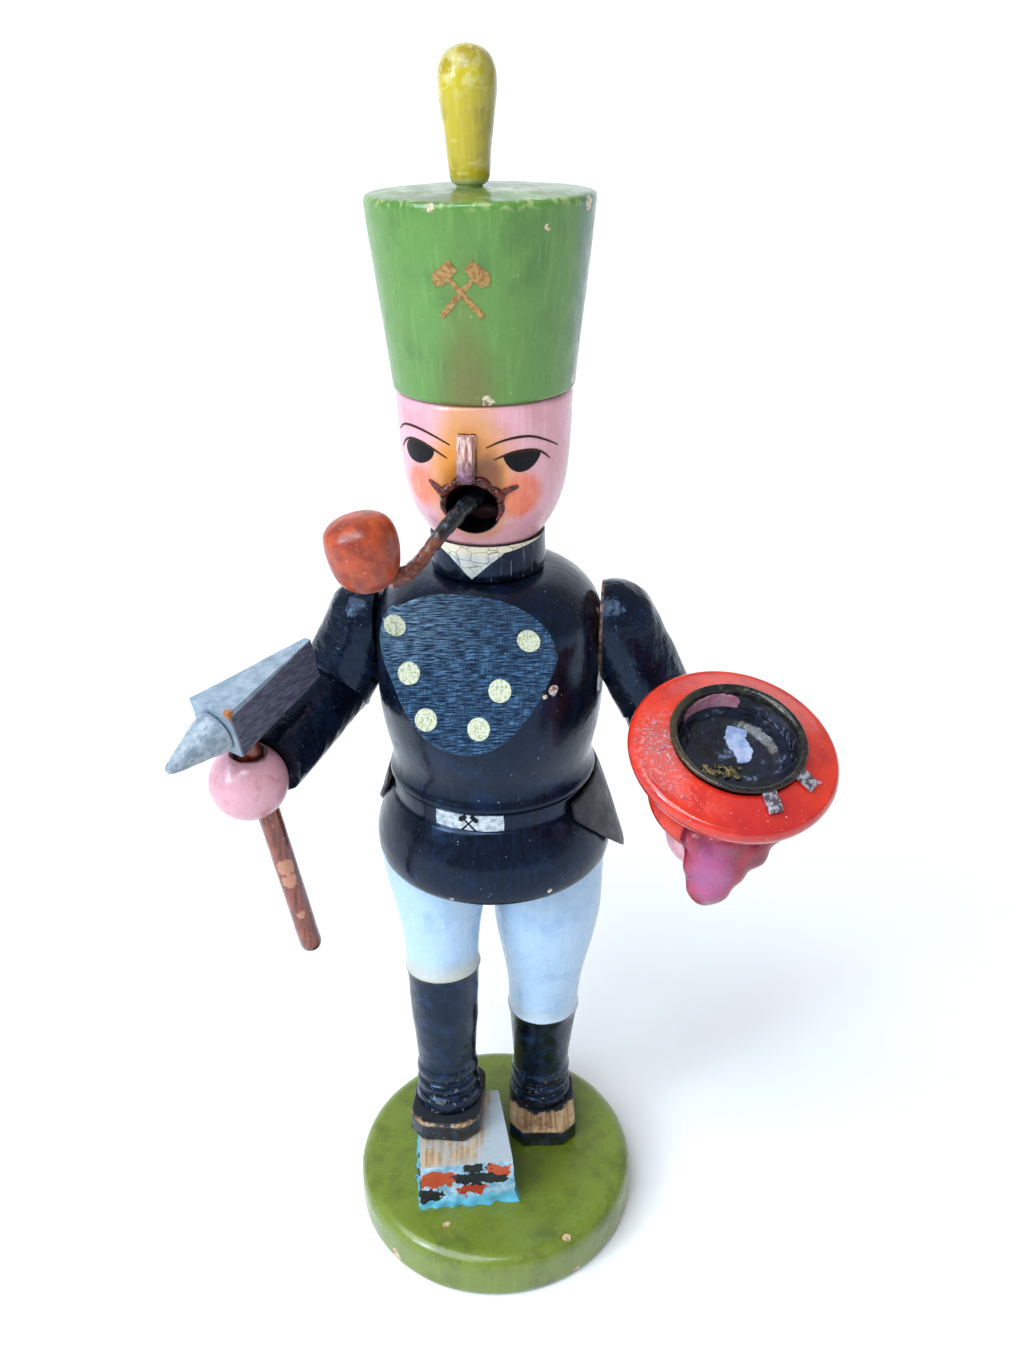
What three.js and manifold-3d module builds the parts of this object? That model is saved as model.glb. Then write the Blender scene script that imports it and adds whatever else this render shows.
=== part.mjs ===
// Incense smoker figure: a miner in parade dress with pipe, hammer and candle dish.
// Millimetres, +Z up, the figure faces -Y. Origin: centre of the base's underside.
import * as THREE from 'three';
import { mergeVertices } from 'three/addons/utils/BufferGeometryUtils.js';
import Module from 'manifold-3d';

const wasm = await Module();
wasm.setup();

// ---- driving dimensions ----
const GAP = 0.3;              // glue line between two glued pieces
const SEG = 32;               // facets round a large turning
const SMALL_SEG = 18;         // facets round a small turning
const BODY_X = 1.5;           // axis of hips, torso, head and hat
const BODY_Y = 15;
const BASE_R = 36;
const BASE_H = 12.6;
const BLOCK_TOP = 26.4;
const SOLE_T = 5.6;
const SOLE_W = 18;
const SOLE_L = 23.4;
const RIGHT_BOOT_H = 39.4;    // boot top above the sole
const LEFT_BOOT_H = 31.3;
const LEG_R = 13.6;           // trouser leg at the hips
const HEM_Z = 101.7;          // underside of the skirt
const BELT_R = 23.6;
const BELT_TOP = 123.9;
const SPIGOT_R = 17.7;
const SPIGOT_TOP = 129.8;
const TORSO_HEM = 124.4;
const TORSO_TOP = 173.9;
const CHAMBER_R = 16.4;
const FLUE_R = 4.4;
const FACET_TURN = 16;        // degrees, towards -X
const FACET_TILT = 22.6;      // degrees, leaning back at the top
const FACET_D = 19.4;         // plane to the point on the body axis at FACET_Z
const FACET_TOP_D = 16.6;     // upright upper part, from the body axis
const FACET_Z = 150;
const FACE_TURN = 11;
const HEAD_BOTTOM = 180.5;
const HEAD_TOP = 213.2;
const MOUTH_R = 5.7;
const MOUTH_Z = 191.8;
const HAT_BOTTOM = 213.5;
const PEG_R = 4;              // leg pegs
const PEG_H = 7;
const DOWEL_R = 3;            // shoulder dowels
const SHOULDER_TURN = 8;      // degrees, the shoulder line about +Z
const ARM_FLAT = 25;          // body axis to the sawn inner face of an arm
const SPOT_R = 12.6;          // spot face on the torso where an arm is glued
const SLEEVE_R = 9;
const FOREARM_R = 7.9;
const HAND_R = 8.5;
const CUFF_BACK = 4.8;        // hand centre to the sleeve's end
const HANDLE_R = 2.6;
const HANDLE_BELOW = 52.4;
const HEAD_ABOVE = 12.6;      // hand centre to the hammer head's underside
const DISH_R = 21.6;
const CUP_R = 14.1;           // candle cup's rim
const CANDLE_R = 11.4;        // room for a 22 mm candle
const DISH_DROP = 29.2;       // dish rim to the hand's centre

const BODY = new THREE.Vector3(BODY_X, BODY_Y, 0);
const Z_AXIS = new THREE.Vector3(0, 0, 1);

// ---- shared joints of the arms ----
const RIGHT = {
  shoulder: new THREE.Vector3(-26.3, 18.8, 160.2),
  elbow: new THREE.Vector3(-34.9, 18.4, 143.2),
  hand: new THREE.Vector3(-48.5, -12, 136.2),
};
const DISH_CENTRE = new THREE.Vector3(50.65, -22.8, 148.25);
const DISH_FOOT = -20.6;      // underside of the dish, from its rim
const DISH_UP = new THREE.Vector3(0.103, -0.36, 0.927).normalize();
const LEFT = {
  shoulder: new THREE.Vector3(29.4, 11, 162),
  elbow: new THREE.Vector3(39.8, 11.2, 140.6),
  hand: DISH_CENTRE.clone().addScaledVector(DISH_UP, -DISH_DROP),
};
const HAND_SHIFT = new THREE.Vector3(-1.9, -0.5, 0);   // the right hand's ball, beside the handle's axis
const HAMMER_UP = new THREE.Vector3(-0.117, -0.148, 0.982).normalize();
const HAMMER_FRONT = new THREE.Vector3(-0.599, -0.778, -0.189);
const HAMMER_SIDE = new THREE.Vector3().crossVectors(HAMMER_FRONT, HAMMER_UP).normalize();
HAMMER_FRONT.crossVectors(HAMMER_UP, HAMMER_SIDE).normalize();

// ---- turned profiles, [radius, height] ----
const SKIRT = [
  [27.2, HEM_Z], [28.0, 103.0], [28.3, 105.5], [28.2, 108.0], [27.4, 111.5],
  [26.0, 115.2], [24.6, 118.0], [BELT_R, 119.4],
];
const TORSO_OUT = [
  [24.2, TORSO_HEM], [24.2, 125.2], [23.5, 126.6], [23.2, 128.6], [23.6, 131.2],
  [24.4, 134.6], [25.2, 139.2], [25.7, 144.5], [25.8, 151], [25.7, 158],
  [25.3, 162.6], [24.4, 166], [23, 168.4], [20.9, 170.6], [18.4, 172.4],
  [15.8, 173.5], [13.5, TORSO_TOP],
];
const HEAD_OUT = [
  [9.2, HEAD_BOTTOM], [11.2, 182], [13.3, 184.8], [15.2, 188.3], [16.4, 191.6],
  [17.1, 195.2], [17.5, 199.2], [17.9, 205], [18.2, HEAD_TOP],
];
const HAT_OUT = [
  [18.6, HAT_BOTTOM], [19.1, 218.6], [20.7, 232.2], [22.1, 245.2], [22.5, 249.4],
  [21.9, 250.1], [14, 250.9],
];

// ---- helpers ----
function signedVolume(geometry) {
  const p = geometry.getAttribute('position');
  const idx = geometry.index.array;
  const a = new THREE.Vector3();
  const b = new THREE.Vector3();
  const c = new THREE.Vector3();
  let sum = 0;
  for (let i = 0; i < idx.length; i += 3) {
    a.fromBufferAttribute(p, idx[i]);
    b.fromBufferAttribute(p, idx[i + 1]);
    c.fromBufferAttribute(p, idx[i + 2]);
    sum += a.dot(b.cross(c)) / 6;
  }
  return sum;
}

// welds a geometry, drops its empty triangles and turns its faces outwards
function clean(source) {
  let g = source.clone();
  g.deleteAttribute('normal');
  g.deleteAttribute('uv');
  g = mergeVertices(g, 1e-4);
  const idx = g.index.array;
  const kept = [];
  for (let i = 0; i < idx.length; i += 3) {
    const [a, b, c] = [idx[i], idx[i + 1], idx[i + 2]];
    if (a !== b && b !== c && a !== c) {
      kept.push(a, b, c);
    }
  }
  g.setIndex(kept);
  if (signedVolume(g) < 0) {
    for (let i = 0; i < kept.length; i += 3) {
      [kept[i + 1], kept[i + 2]] = [kept[i + 2], kept[i + 1]];
    }
    g.setIndex(kept);
  }
  return g;
}

function solid(geometry) {
  const g = clean(geometry);
  const mesh = new wasm.Mesh({
    numProp: 3,
    vertProperties: new Float32Array(g.getAttribute('position').array),
    triVerts: new Uint32Array(g.index.array),
  });
  return new wasm.Manifold(mesh);
}

function shape(manifold) {
  const mesh = manifold.getMesh();
  const g = new THREE.BufferGeometry();
  g.setAttribute('position', new THREE.BufferAttribute(new Float32Array(mesh.vertProperties), 3));
  g.setIndex(Array.from(mesh.triVerts));
  return g;
}

// a turning about a vertical axis through (x, y)
function turned(profile, x, y, segments = SEG) {
  const points = profile.map(([r, z]) => new THREE.Vector2(r, z));
  const g = new THREE.LatheGeometry(points, segments);
  g.rotateX(Math.PI / 2);
  g.translate(x, y, 0);
  return clean(g);
}

// a turning whose height runs from point `from` along `direction`
function turnedAlong(profile, from, direction, segments = SMALL_SEG) {
  const g = turned(profile, 0, 0, segments);
  const q = new THREE.Quaternion().setFromUnitVectors(Z_AXIS, direction.clone().normalize());
  g.applyQuaternion(q);
  g.translate(from.x, from.y, from.z);
  return g;
}

function rod(from, to, radius, segments = SMALL_SEG) {
  const direction = to.clone().sub(from);
  const length = direction.length();
  return turnedAlong([[0, 0], [radius, 0], [radius, length], [0, length]], from, direction, segments);
}

// the half space behind a plane: everything where (p - point) . normal < 0
function behind(point, normal, size = 700) {
  const g = new THREE.BoxGeometry(size, size, size);
  g.translate(0, 0, -size / 2);
  const q = new THREE.Quaternion().setFromUnitVectors(Z_AXIS, normal.clone().normalize());
  g.applyQuaternion(q);
  g.translate(point.x, point.y, point.z);
  return solid(g);
}

// a block from four bottom corners and four top corners, both anticlockwise seen from above
function hexahedron(bottom, top) {
  const points = [...bottom, ...top];
  const g = new THREE.BufferGeometry();
  const flat = points.flatMap((p) => [p.x, p.y, p.z]);
  g.setAttribute('position', new THREE.Float32BufferAttribute(flat, 3));
  const faces = [0, 2, 1, 0, 3, 2, 4, 5, 6, 4, 6, 7];
  for (let i = 0; i < 4; i += 1) {
    const j = (i + 1) % 4;
    faces.push(i, j, 4 + j, i, 4 + j, 4 + i);
  }
  g.setIndex(faces);
  return clean(g);
}

// horizontal direction at an angle from -Y, positive towards -X
function facing(degrees) {
  const a = THREE.MathUtils.degToRad(degrees);
  return new THREE.Vector3(-Math.sin(a), -Math.cos(a), 0);
}

function profileRadius(profile, z) {
  for (let i = 1; i < profile.length; i += 1) {
    const [r0, z0] = profile[i - 1];
    const [r1, z1] = profile[i];
    if (z <= z1) {
      return r0 + (r1 - r0) * Math.max(0, (z - z0) / (z1 - z0));
    }
  }
  return profile[profile.length - 1][0];
}

// ---- materials and output ----
const group = new THREE.Group();
group.name = 'incense_smoker_miner';

function paint(name, color, metalness = 0) {
  return new THREE.MeshStandardMaterial({ name, color, metalness, roughness: 0.45 });
}

const MAT = {
  olive: paint('base_green', 0x74743a),
  ore: paint('ore_blue', 0x9db4c8),
  sole: paint('sole_wood', 0xb08a5a),
  trousers: paint('trouser_white', 0xcfdde8),
  coat: paint('coat_black', 0x12161f),
  silver: paint('buckle_silver', 0xb9bdc0),
  leather: paint('back_leather', 0x1c222c),
  shirt: paint('shirt_white', 0xe4e2da),
  skin: paint('skin_pink', 0xe2a6a6),
  nose: paint('nose_wood', 0xa87468),
  hat: paint('hat_green', 0x5b9a3c),
  plume: paint('plume_yellow', 0xe8cf3a),
  pipe: paint('pipe_brown', 0x8a2f18),
  bit: paint('mouthpiece_black', 0x14161a),
  iron: paint('hammer_grey', 0x8c99a6),
  handle: paint('handle_brown', 0x8a3520),
  dish: paint('dish_red', 0xdc3a1e),
  brass: paint('cup_metal', 0x4a4538, 0.8),
  wax: paint('wax_magenta', 0x9a2a4e),
  tin: paint('tin_plate', 0x9a958a, 0.8),
};

function add(name, geometry, material) {
  const mesh = new THREE.Mesh(geometry, material);
  mesh.name = name;
  group.add(mesh);
}

// ---- base, block, soles and legs ----
function makeBase() {
  const profile = [
    [0, 0], [34.8, 0], [BASE_R, 1.2], [BASE_R, 9.6], [35.3, 11.4], [33.6, BASE_H], [0, BASE_H],
  ];
  add('base_disc', turned(profile, 0, 0, 48), MAT.olive);
}

function makeBlock() {
  const z0 = BASE_H + GAP;
  const corners = [[-19, -19.2], [5, -17.4], [1.4, 6.6], [-20.6, 4.6]];
  const bottom = corners.map(([x, y]) => new THREE.Vector3(x, y, z0));
  const centre = new THREE.Vector3(-8, -6, BLOCK_TOP);
  const top = corners.map(([x, y]) => new THREE.Vector3(x, y, BLOCK_TOP).lerp(centre, 0.04));
  add('ore_block', hexahedron(bottom, top), MAT.ore);
}

function makeSole(name, x, y, z, turn) {
  const w = SOLE_W / 2 - 1;
  const l = SOLE_L / 2 - 1;
  const cut = 3.2;
  const outline = new THREE.Shape([
    new THREE.Vector2(-w + cut, -l), new THREE.Vector2(w - cut, -l),
    new THREE.Vector2(w, -l + cut), new THREE.Vector2(w, l - cut),
    new THREE.Vector2(w - cut, l), new THREE.Vector2(-w + cut, l),
    new THREE.Vector2(-w, l - cut), new THREE.Vector2(-w, -l + cut),
  ]);
  const g = new THREE.ExtrudeGeometry(outline, {
    depth: SOLE_T - 2, bevelEnabled: true, bevelThickness: 1, bevelSize: 1, bevelSegments: 1,
  });
  g.translate(0, 0, 1);
  g.rotateZ(THREE.MathUtils.degToRad(turn));
  g.translate(x, y, z);
  add(name, clean(g), MAT.sole);
}

function makeLeg(name, foot, hip, b) {
  const axis = hip.clone().sub(foot);
  const length = axis.length();
  const profile = [
    [0, -4], [8.1, -4], [8.1, 2.2], [7.3, 3.4], [7.9, 4.4], [7.9, 6], [7.2, 7], [7.8, 8],
    [7.8, 10], [7.3, 11], [7.6, 16], [8.4, 25], [8.9, b - 1], [9.4, b - 0.4], [9.4, b + 0.4],
    [8.9, b + 0.8], [9.3, b + 8], [10.6, b + 16], [12.5, b + 25], [LEG_R, b + 33],
    [LEG_R, length + 4], [0, length + 4],
  ];
  const slab = new THREE.BoxGeometry(60, 60, hip.z - foot.z);
  slab.translate(hip.x, hip.y, (hip.z + foot.z) / 2);
  const peg = rod(hip.clone().setZ(hip.z - 2), hip.clone().setZ(hip.z + PEG_H), PEG_R);
  const leg = solid(turnedAlong(profile, foot, axis, 24)).intersect(solid(slab)).add(solid(peg));
  add(name, shape(leg), MAT.trousers);
}

// ---- hips, belt, leather and plate ----
function makeHips(pegs) {
  const profile = [
    [0, HEM_Z], ...SKIRT, [BELT_R, BELT_TOP], [SPIGOT_R, BELT_TOP + 0.1],
    [SPIGOT_R, SPIGOT_TOP - 0.8], [SPIGOT_R - 0.8, SPIGOT_TOP], [0, SPIGOT_TOP],
  ];
  let hips = solid(turned(profile, BODY_X, BODY_Y, 36));
  for (const p of pegs) {
    const low = p.clone().setZ(HEM_Z - 3);
    const high = p.clone().setZ(p.z + PEG_H + GAP);
    hips = hips.subtract(solid(rod(low, high, PEG_R + GAP)));
  }
  const tackLow = BODY.clone().setZ(SPIGOT_TOP - 6.4);
  const tackHigh = BODY.clone().setZ(SPIGOT_TOP + 4);
  hips = hips.subtract(solid(rod(tackLow, tackHigh, 1.1, 12)));
  add('hip_body', shape(hips), MAT.coat);
}

// a thin curved plate between two radii, two heights and two angles about the body axis
function curvedPlate(r0, r1, z0, z1, middle, half, steps) {
  const positions = [];
  for (let i = 0; i <= steps; i += 1) {
    const d = facing(middle - half + (2 * half * i) / steps);
    for (const [r, z] of [[r0, z0], [r1, z0], [r1, z1], [r0, z1]]) {
      positions.push(BODY_X + d.x * r, BODY_Y + d.y * r, z);
    }
  }
  const faces = [0, 1, 2, 0, 2, 3];
  for (let i = 0; i < steps; i += 1) {
    for (let k = 0; k < 4; k += 1) {
      const a = 4 * i + k;
      const b = 4 * i + ((k + 1) % 4);
      faces.push(a, a + 4, b + 4, a, b + 4, b);
    }
  }
  const e = 4 * steps;
  faces.push(e, e + 2, e + 1, e, e + 3, e + 2);
  const g = new THREE.BufferGeometry();
  g.setAttribute('position', new THREE.Float32BufferAttribute(positions, 3));
  g.setIndex(faces);
  return clean(g);
}

function leatherPoint(u, v, side) {
  const far = Math.abs(u);
  const tip = 0.72;
  const top = BELT_TOP - 0.2 - 2 * far ** 6;
  const fall = far > tip ? (far - tip) / (1 - tip) : 0;
  const low = far > tip ? 103.2 + 14.6 * fall : 100.6 + 2.6 * (far / tip) ** 2;
  const z = top + (low - top) * v;
  const flare = BELT_R + 0.9 + (31 - 5.6 * fall - BELT_R - 0.9) * v ** 0.85;
  const r = Math.max(flare, profileRadius(SKIRT, z) + 0.8) + side * 0.4;
  const a = THREE.MathUtils.degToRad(70 + u * 113);
  return [BODY_X + r * Math.cos(a), BODY_Y + r * Math.sin(a), z];
}

function makeLeather() {
  const nu = 30;
  const nv = 6;
  const positions = [];
  for (const side of [-1, 1]) {
    for (let i = 0; i <= nu; i += 1) {
      for (let j = 0; j <= nv; j += 1) {
        positions.push(...leatherPoint(-1 + (2 * i) / nu, j / nv, side));
      }
    }
  }
  const layer = (nu + 1) * (nv + 1);
  const at = (s, i, j) => s * layer + i * (nv + 1) + j;
  const faces = [];
  const quad = (a, b, c, d) => faces.push(a, b, c, a, c, d);
  for (let i = 0; i < nu; i += 1) {
    for (let j = 0; j < nv; j += 1) {
      quad(at(0, i, j), at(0, i + 1, j), at(0, i + 1, j + 1), at(0, i, j + 1));
      quad(at(1, i, j), at(1, i, j + 1), at(1, i + 1, j + 1), at(1, i + 1, j));
    }
    quad(at(0, i, 0), at(1, i, 0), at(1, i + 1, 0), at(0, i + 1, 0));
    quad(at(0, i, nv), at(0, i + 1, nv), at(1, i + 1, nv), at(1, i, nv));
  }
  for (let j = 0; j < nv; j += 1) {
    quad(at(0, 0, j), at(0, 0, j + 1), at(1, 0, j + 1), at(1, 0, j));
    quad(at(0, nu, j), at(1, nu, j), at(1, nu, j + 1), at(0, nu, j + 1));
  }
  const g = new THREE.BufferGeometry();
  g.setAttribute('position', new THREE.Float32BufferAttribute(positions, 3));
  g.setIndex(faces);
  add('back_leather', clean(g), MAT.leather);
}

function makePlate() {
  const z = SPIGOT_TOP + GAP;
  const plate = [[1.2, z], [12.4, z], [13.5, z + 1.6], [12.9, z + 1.8], [12, z + 0.6], [1.2, z + 0.6], [1.2, z]];
  add('incense_plate', turned(plate, BODY_X, BODY_Y), MAT.tin);
  const tack = [
    [0, SPIGOT_TOP - 6], [0.8, SPIGOT_TOP - 6], [0.8, z + 0.9], [2.2, z + 0.9], [1.8, z + 1.5], [0, z + 1.7],
  ];
  add('plate_tack', turned(tack, BODY_X, BODY_Y, 12), MAT.tin);
}

// ---- torso, collar, head, hat ----
function shoulderDirection(side) {
  const a = THREE.MathUtils.degToRad(SHOULDER_TURN);
  return new THREE.Vector3(side * Math.cos(a), -side * Math.sin(a), 0);
}

function dowelLine(side, arm) {
  const out = shoulderDirection(side);
  const z = arm.shoulder.z - 4;
  const inner = BODY.clone().addScaledVector(out, ARM_FLAT - 5.6).setZ(z);
  const outer = BODY.clone().addScaledVector(out, ARM_FLAT + 3).setZ(z);
  return [inner, outer];
}

function makeTorso() {
  const profile = [
    [SPIGOT_R + GAP, TORSO_HEM], ...TORSO_OUT, [FLUE_R, TORSO_TOP], [FLUE_R, 163.5], [9, 160.5],
    [14, 156], [CHAMBER_R, 150], [CHAMBER_R, 133], [SPIGOT_R + GAP, 131.4], [SPIGOT_R + GAP, TORSO_HEM],
  ];
  let torso = solid(turned(profile, BODY_X, BODY_Y, 36));
  const tilt = THREE.MathUtils.degToRad(FACET_TILT);
  const normal = facing(FACET_TURN).multiplyScalar(Math.cos(tilt)).setZ(Math.sin(tilt));
  const point = BODY.clone().setZ(FACET_Z).addScaledVector(normal, FACET_D);
  const upper = BODY.clone().addScaledVector(facing(FACET_TURN), FACET_TOP_D);
  torso = torso.intersect(behind(point, normal).add(behind(upper, facing(FACET_TURN))));
  for (const [side, arm] of [[-1, RIGHT], [1, LEFT]]) {
    const [inner, outer] = dowelLine(side, arm);
    const start = inner.clone().addScaledVector(shoulderDirection(side), -GAP);
    const spot = inner.clone().addScaledVector(shoulderDirection(side), 5.6 - GAP);
    const off = spot.clone().addScaledVector(shoulderDirection(side), 8);
    torso = torso.subtract(solid(rod(start, outer, DOWEL_R + GAP)))
      .subtract(solid(rod(spot, off, SPOT_R, 28)));
  }
  add('torso_shell', shape(torso), MAT.coat);
}

function makeCollar() {
  const z = TORSO_TOP + GAP;
  const profile = [
    [FLUE_R, z], [12.3, z], [12.6, z + 2], [12.4, z + 5.4], [11.9, z + 7.4], [11.3, z + 7.2],
    [9.4, z + 6], [FLUE_R, z + 6], [FLUE_R, z],
  ];
  add('collar_ring', turned(profile, BODY_X, BODY_Y), MAT.shirt);
}

function noseBlock(grow) {
  const g = new THREE.BoxGeometry(3.4 + 2 * grow, 4.6 + 2 * grow, 9.4 + 2 * grow);
  g.rotateX(THREE.MathUtils.degToRad(-7));
  g.translate(0, -19.3, 203.2);
  g.rotateZ(THREE.MathUtils.degToRad(-FACE_TURN));
  g.translate(BODY_X, BODY_Y, 0);
  return g;
}

function makeHead() {
  const profile = [
    [0, 206], [6, 205], [9, 201], [9.8, 194], [8.4, 188.5], [FLUE_R, 185.4], [FLUE_R, HEAD_BOTTOM],
    ...HEAD_OUT, [0, HEAD_TOP],
  ];
  const front = facing(FACE_TURN);
  const from = BODY.clone().addScaledVector(front, 4).setZ(MOUTH_Z);
  const to = BODY.clone().addScaledVector(front, 30).setZ(MOUTH_Z);
  const head = solid(turned(profile, BODY_X, BODY_Y, 36))
    .subtract(solid(rod(from, to, MOUTH_R)))
    .subtract(solid(noseBlock(0.2)));
  add('head', shape(head), MAT.skin);
  add('nose_peg', clean(noseBlock(0)), MAT.nose);
}

function makeHat() {
  const plumeX = -0.4;
  const plumeY = 13;
  const hole = rod(new THREE.Vector3(plumeX, plumeY, 244), new THREE.Vector3(plumeX, plumeY, 260), 2.6, 16);
  const hat = solid(turned([[0, HAT_BOTTOM], ...HAT_OUT, [0, 251.2]], BODY_X, BODY_Y, 36));
  add('hat', shape(hat.subtract(solid(hole))), MAT.hat);
  const plume = [
    [0, 244.4], [2.3, 244.4], [2.3, 251.4], [3.4, 251.6], [3.9, 253.2], [4.2, 257], [4.6, 260.7],
    [5.2, 264.8], [5.6, 268.6], [5.4, 271.2], [4.3, 273.5], [2.3, 274.9], [0, 275.3],
  ];
  add('plume', turned(plume, plumeX, plumeY, SMALL_SEG), MAT.plume);
}

// ---- pipe ----
function makePipe() {
  const top = new THREE.Vector3(-23.6, -15, 196.2);
  const low = new THREE.Vector3(-20.7, -15, 180.6);
  const axis = top.clone().sub(low);
  const h = axis.length();
  const bowl = [
    [0, 0], [2.8, 0.3], [5.2, 1.8], [6.5, 4.4], [7.2, 8], [7.2, 10.8], [6.5, 13.2], [4.6, h - 1], [2.2, h - 0.2], [0, h],
  ];
  const stemPoints = [
    [-17.2, -15, 182.9], [-14, -13.2, 183.2], [-10.6, -10.4, 185.8], [-7.4, -6.6, 189.2],
  ].map((p) => new THREE.Vector3(...p));
  const bitEnd = new THREE.Vector3(0.2, 3.2, 194.1);
  const bitDirection = bitEnd.clone().sub(stemPoints[3]).normalize();
  const curve = new THREE.CatmullRomCurve3(stemPoints);
  const round = new THREE.Shape();
  round.absarc(0, 0, 1.5, 0, 2 * Math.PI, false);
  const stem = new THREE.ExtrudeGeometry(round, {
    steps: 14, bevelEnabled: false, extrudePath: curve, curveSegments: 6,
  });
  const socket = rod(stemPoints[0].clone().add(new THREE.Vector3(-1.2, -0.6, -0.1)), stemPoints[1], 2.1, 16);
  add('pipe_bowl', shape(solid(turnedAlong(bowl, low, axis)).subtract(solid(socket))), MAT.pipe);
  add('pipe_stem', clean(stem), MAT.pipe);
  const start = stemPoints[3].clone().addScaledVector(bitDirection, GAP + 0.2);
  const length = bitEnd.distanceTo(start);
  const bit = [[0, 0], [1.6, 0], [1.7, 4], [1.8, length - 3], [2, length - 1], [1.5, length], [0, length]];
  add('pipe_mouthpiece', turnedAlong(bit, start, bitDirection, 16), MAT.bit);
}

// ---- candle dish ----
function dishProfile(grow) {
  const d = DISH_R;
  const low = DISH_FOOT;
  return [
    [0, low - grow], [9.4 + grow, low - grow], [12.8 + grow, low + 0.6 - grow], [14.6 + grow, low + 2.4],
    [14.6 + grow, low + 3.4], [13.6 + grow, low + 5.6], [11.8 + grow, low + 8.4], [11.4 + grow, low + 10.2],
    [12.4 + grow, -8.6 - grow], [16.4 + grow, -6.2 - grow], [20.4 + grow, -4.6 - grow],
    [d + grow, -2.6], [d + grow, -1.2], [20.8 + grow, grow],
  ];
}

// the dish with a glue line round it, to cut what is stuck to its underside
function grownDish() {
  const profile = [...dishProfile(GAP), [0, 3]];
  return solid(turnedAlong(profile, DISH_CENTRE, DISH_UP, SEG));
}

// ---- arms and hands ----
function makeArm(label, side, arm) {
  const upperDirection = arm.elbow.clone().sub(arm.shoulder).normalize();
  const foreDirection = arm.hand.clone().sub(arm.elbow).normalize();
  const mitre = upperDirection.clone().add(foreDirection).normalize();
  const upperLength = arm.elbow.distanceTo(arm.shoulder);
  const s = SLEEVE_R;
  const capsule = [
    [0, -s], [0.34 * s, -0.94 * s], [0.64 * s, -0.77 * s], [0.87 * s, -0.5 * s], [0.98 * s, -0.2 * s],
    [s, 0], [s, upperLength + 14], [0, upperLength + 14],
  ];
  const out = shoulderDirection(side);
  const flat = BODY.clone().addScaledVector(out, ARM_FLAT);
  const [inner, outer] = dowelLine(side, arm);
  const elbowUp = arm.elbow.clone().addScaledVector(mitre, -GAP / 2);
  const elbowOn = arm.elbow.clone().addScaledVector(mitre, GAP / 2);
  const upper = solid(turnedAlong(capsule, arm.shoulder, upperDirection, 20))
    .intersect(behind(elbowUp, mitre))
    .intersect(behind(flat, out.clone().negate()))
    .add(solid(rod(inner, outer, DOWEL_R)));
  add(`${label}_upper_arm`, shape(upper), MAT.coat);
  const cuff = arm.hand.clone().addScaledVector(foreDirection, -CUFF_BACK - GAP);
  const back = arm.elbow.clone().addScaledVector(foreDirection, -16);
  const reach = cuff.distanceTo(back);
  const f = FOREARM_R;
  const sleeve = [[0, 0], [f + 0.9, 0], [f + 0.6, 16], [f, reach - 4], [f - 0.3, reach], [0, reach]];
  const clearance = BODY.clone().addScaledVector(out, ARM_FLAT);
  const fore = solid(turnedAlong(sleeve, back, foreDirection, 20))
    .intersect(behind(elbowOn, mitre.clone().negate()))
    .intersect(behind(clearance, out.clone().negate()))
    .subtract(grownDish());
  add(`${label}_forearm`, shape(fore), MAT.coat);
  return foreDirection;
}

function makeHand(name, centre, shift, foreDirection, cutter) {
  const ball = new THREE.SphereGeometry(HAND_R, 20, 12);
  ball.translate(centre.x + shift.x, centre.y + shift.y, centre.z + shift.z);
  const wrist = centre.clone().addScaledVector(foreDirection, -CUFF_BACK);
  const hand = solid(ball).intersect(behind(wrist, foreDirection.clone().negate()));
  add(name, shape(cutter(hand)), MAT.skin);
}

// ---- hammer ----
function hammerPoint(front, side, up) {
  return RIGHT.hand.clone()
    .addScaledVector(HAMMER_FRONT, front)
    .addScaledVector(HAMMER_SIDE, side)
    .addScaledVector(HAMMER_UP, up);
}

function makeHammer() {
  const z0 = HEAD_ABOVE;
  const nose = 5.7;
  const tail = -22.7;
  const w = 5.8;
  const t = 0.8;
  const bottom = [
    hammerPoint(nose, w, z0), hammerPoint(nose, -w, z0), hammerPoint(tail, -t, z0), hammerPoint(tail, t, z0),
  ];
  const top = [
    hammerPoint(nose, w, z0 + 11.1), hammerPoint(nose, -w, z0 + 11.1),
    hammerPoint(tail, -t, z0 + 9.8), hammerPoint(tail, t, z0 + 9.8),
  ];
  const socket = rod(hammerPoint(0, 0, z0 - 2), hammerPoint(0, 0, z0 + 7.3), HANDLE_R + GAP);
  add('hammer_block', shape(solid(hexahedron(bottom, top)).subtract(solid(socket))), MAT.iron);
  const start = hammerPoint(nose + GAP, 0, z0 + 4.9);
  const cone = [[0, 0], [4.9, 0], [4.4, 2.4], [3, 7], [1.6, 11.8], [1, 13], [0, 13.6]];
  const down = HAMMER_FRONT.clone().addScaledVector(HAMMER_UP, -0.06).normalize();
  const pointed = solid(turnedAlong(cone, start, down))
    .intersect(behind(start, HAMMER_FRONT.clone().negate()));
  add('hammer_point', shape(pointed), MAT.iron);
  const low = -HANDLE_BELOW;
  const high = z0 + 7;
  const r = HANDLE_R;
  const handle = [[0, low], [r - 1, low], [r, low + 1.4], [r, high], [0, high]];
  add('hammer_handle', turnedAlong(handle, RIGHT.hand, HAMMER_UP), MAT.handle);
}

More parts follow.
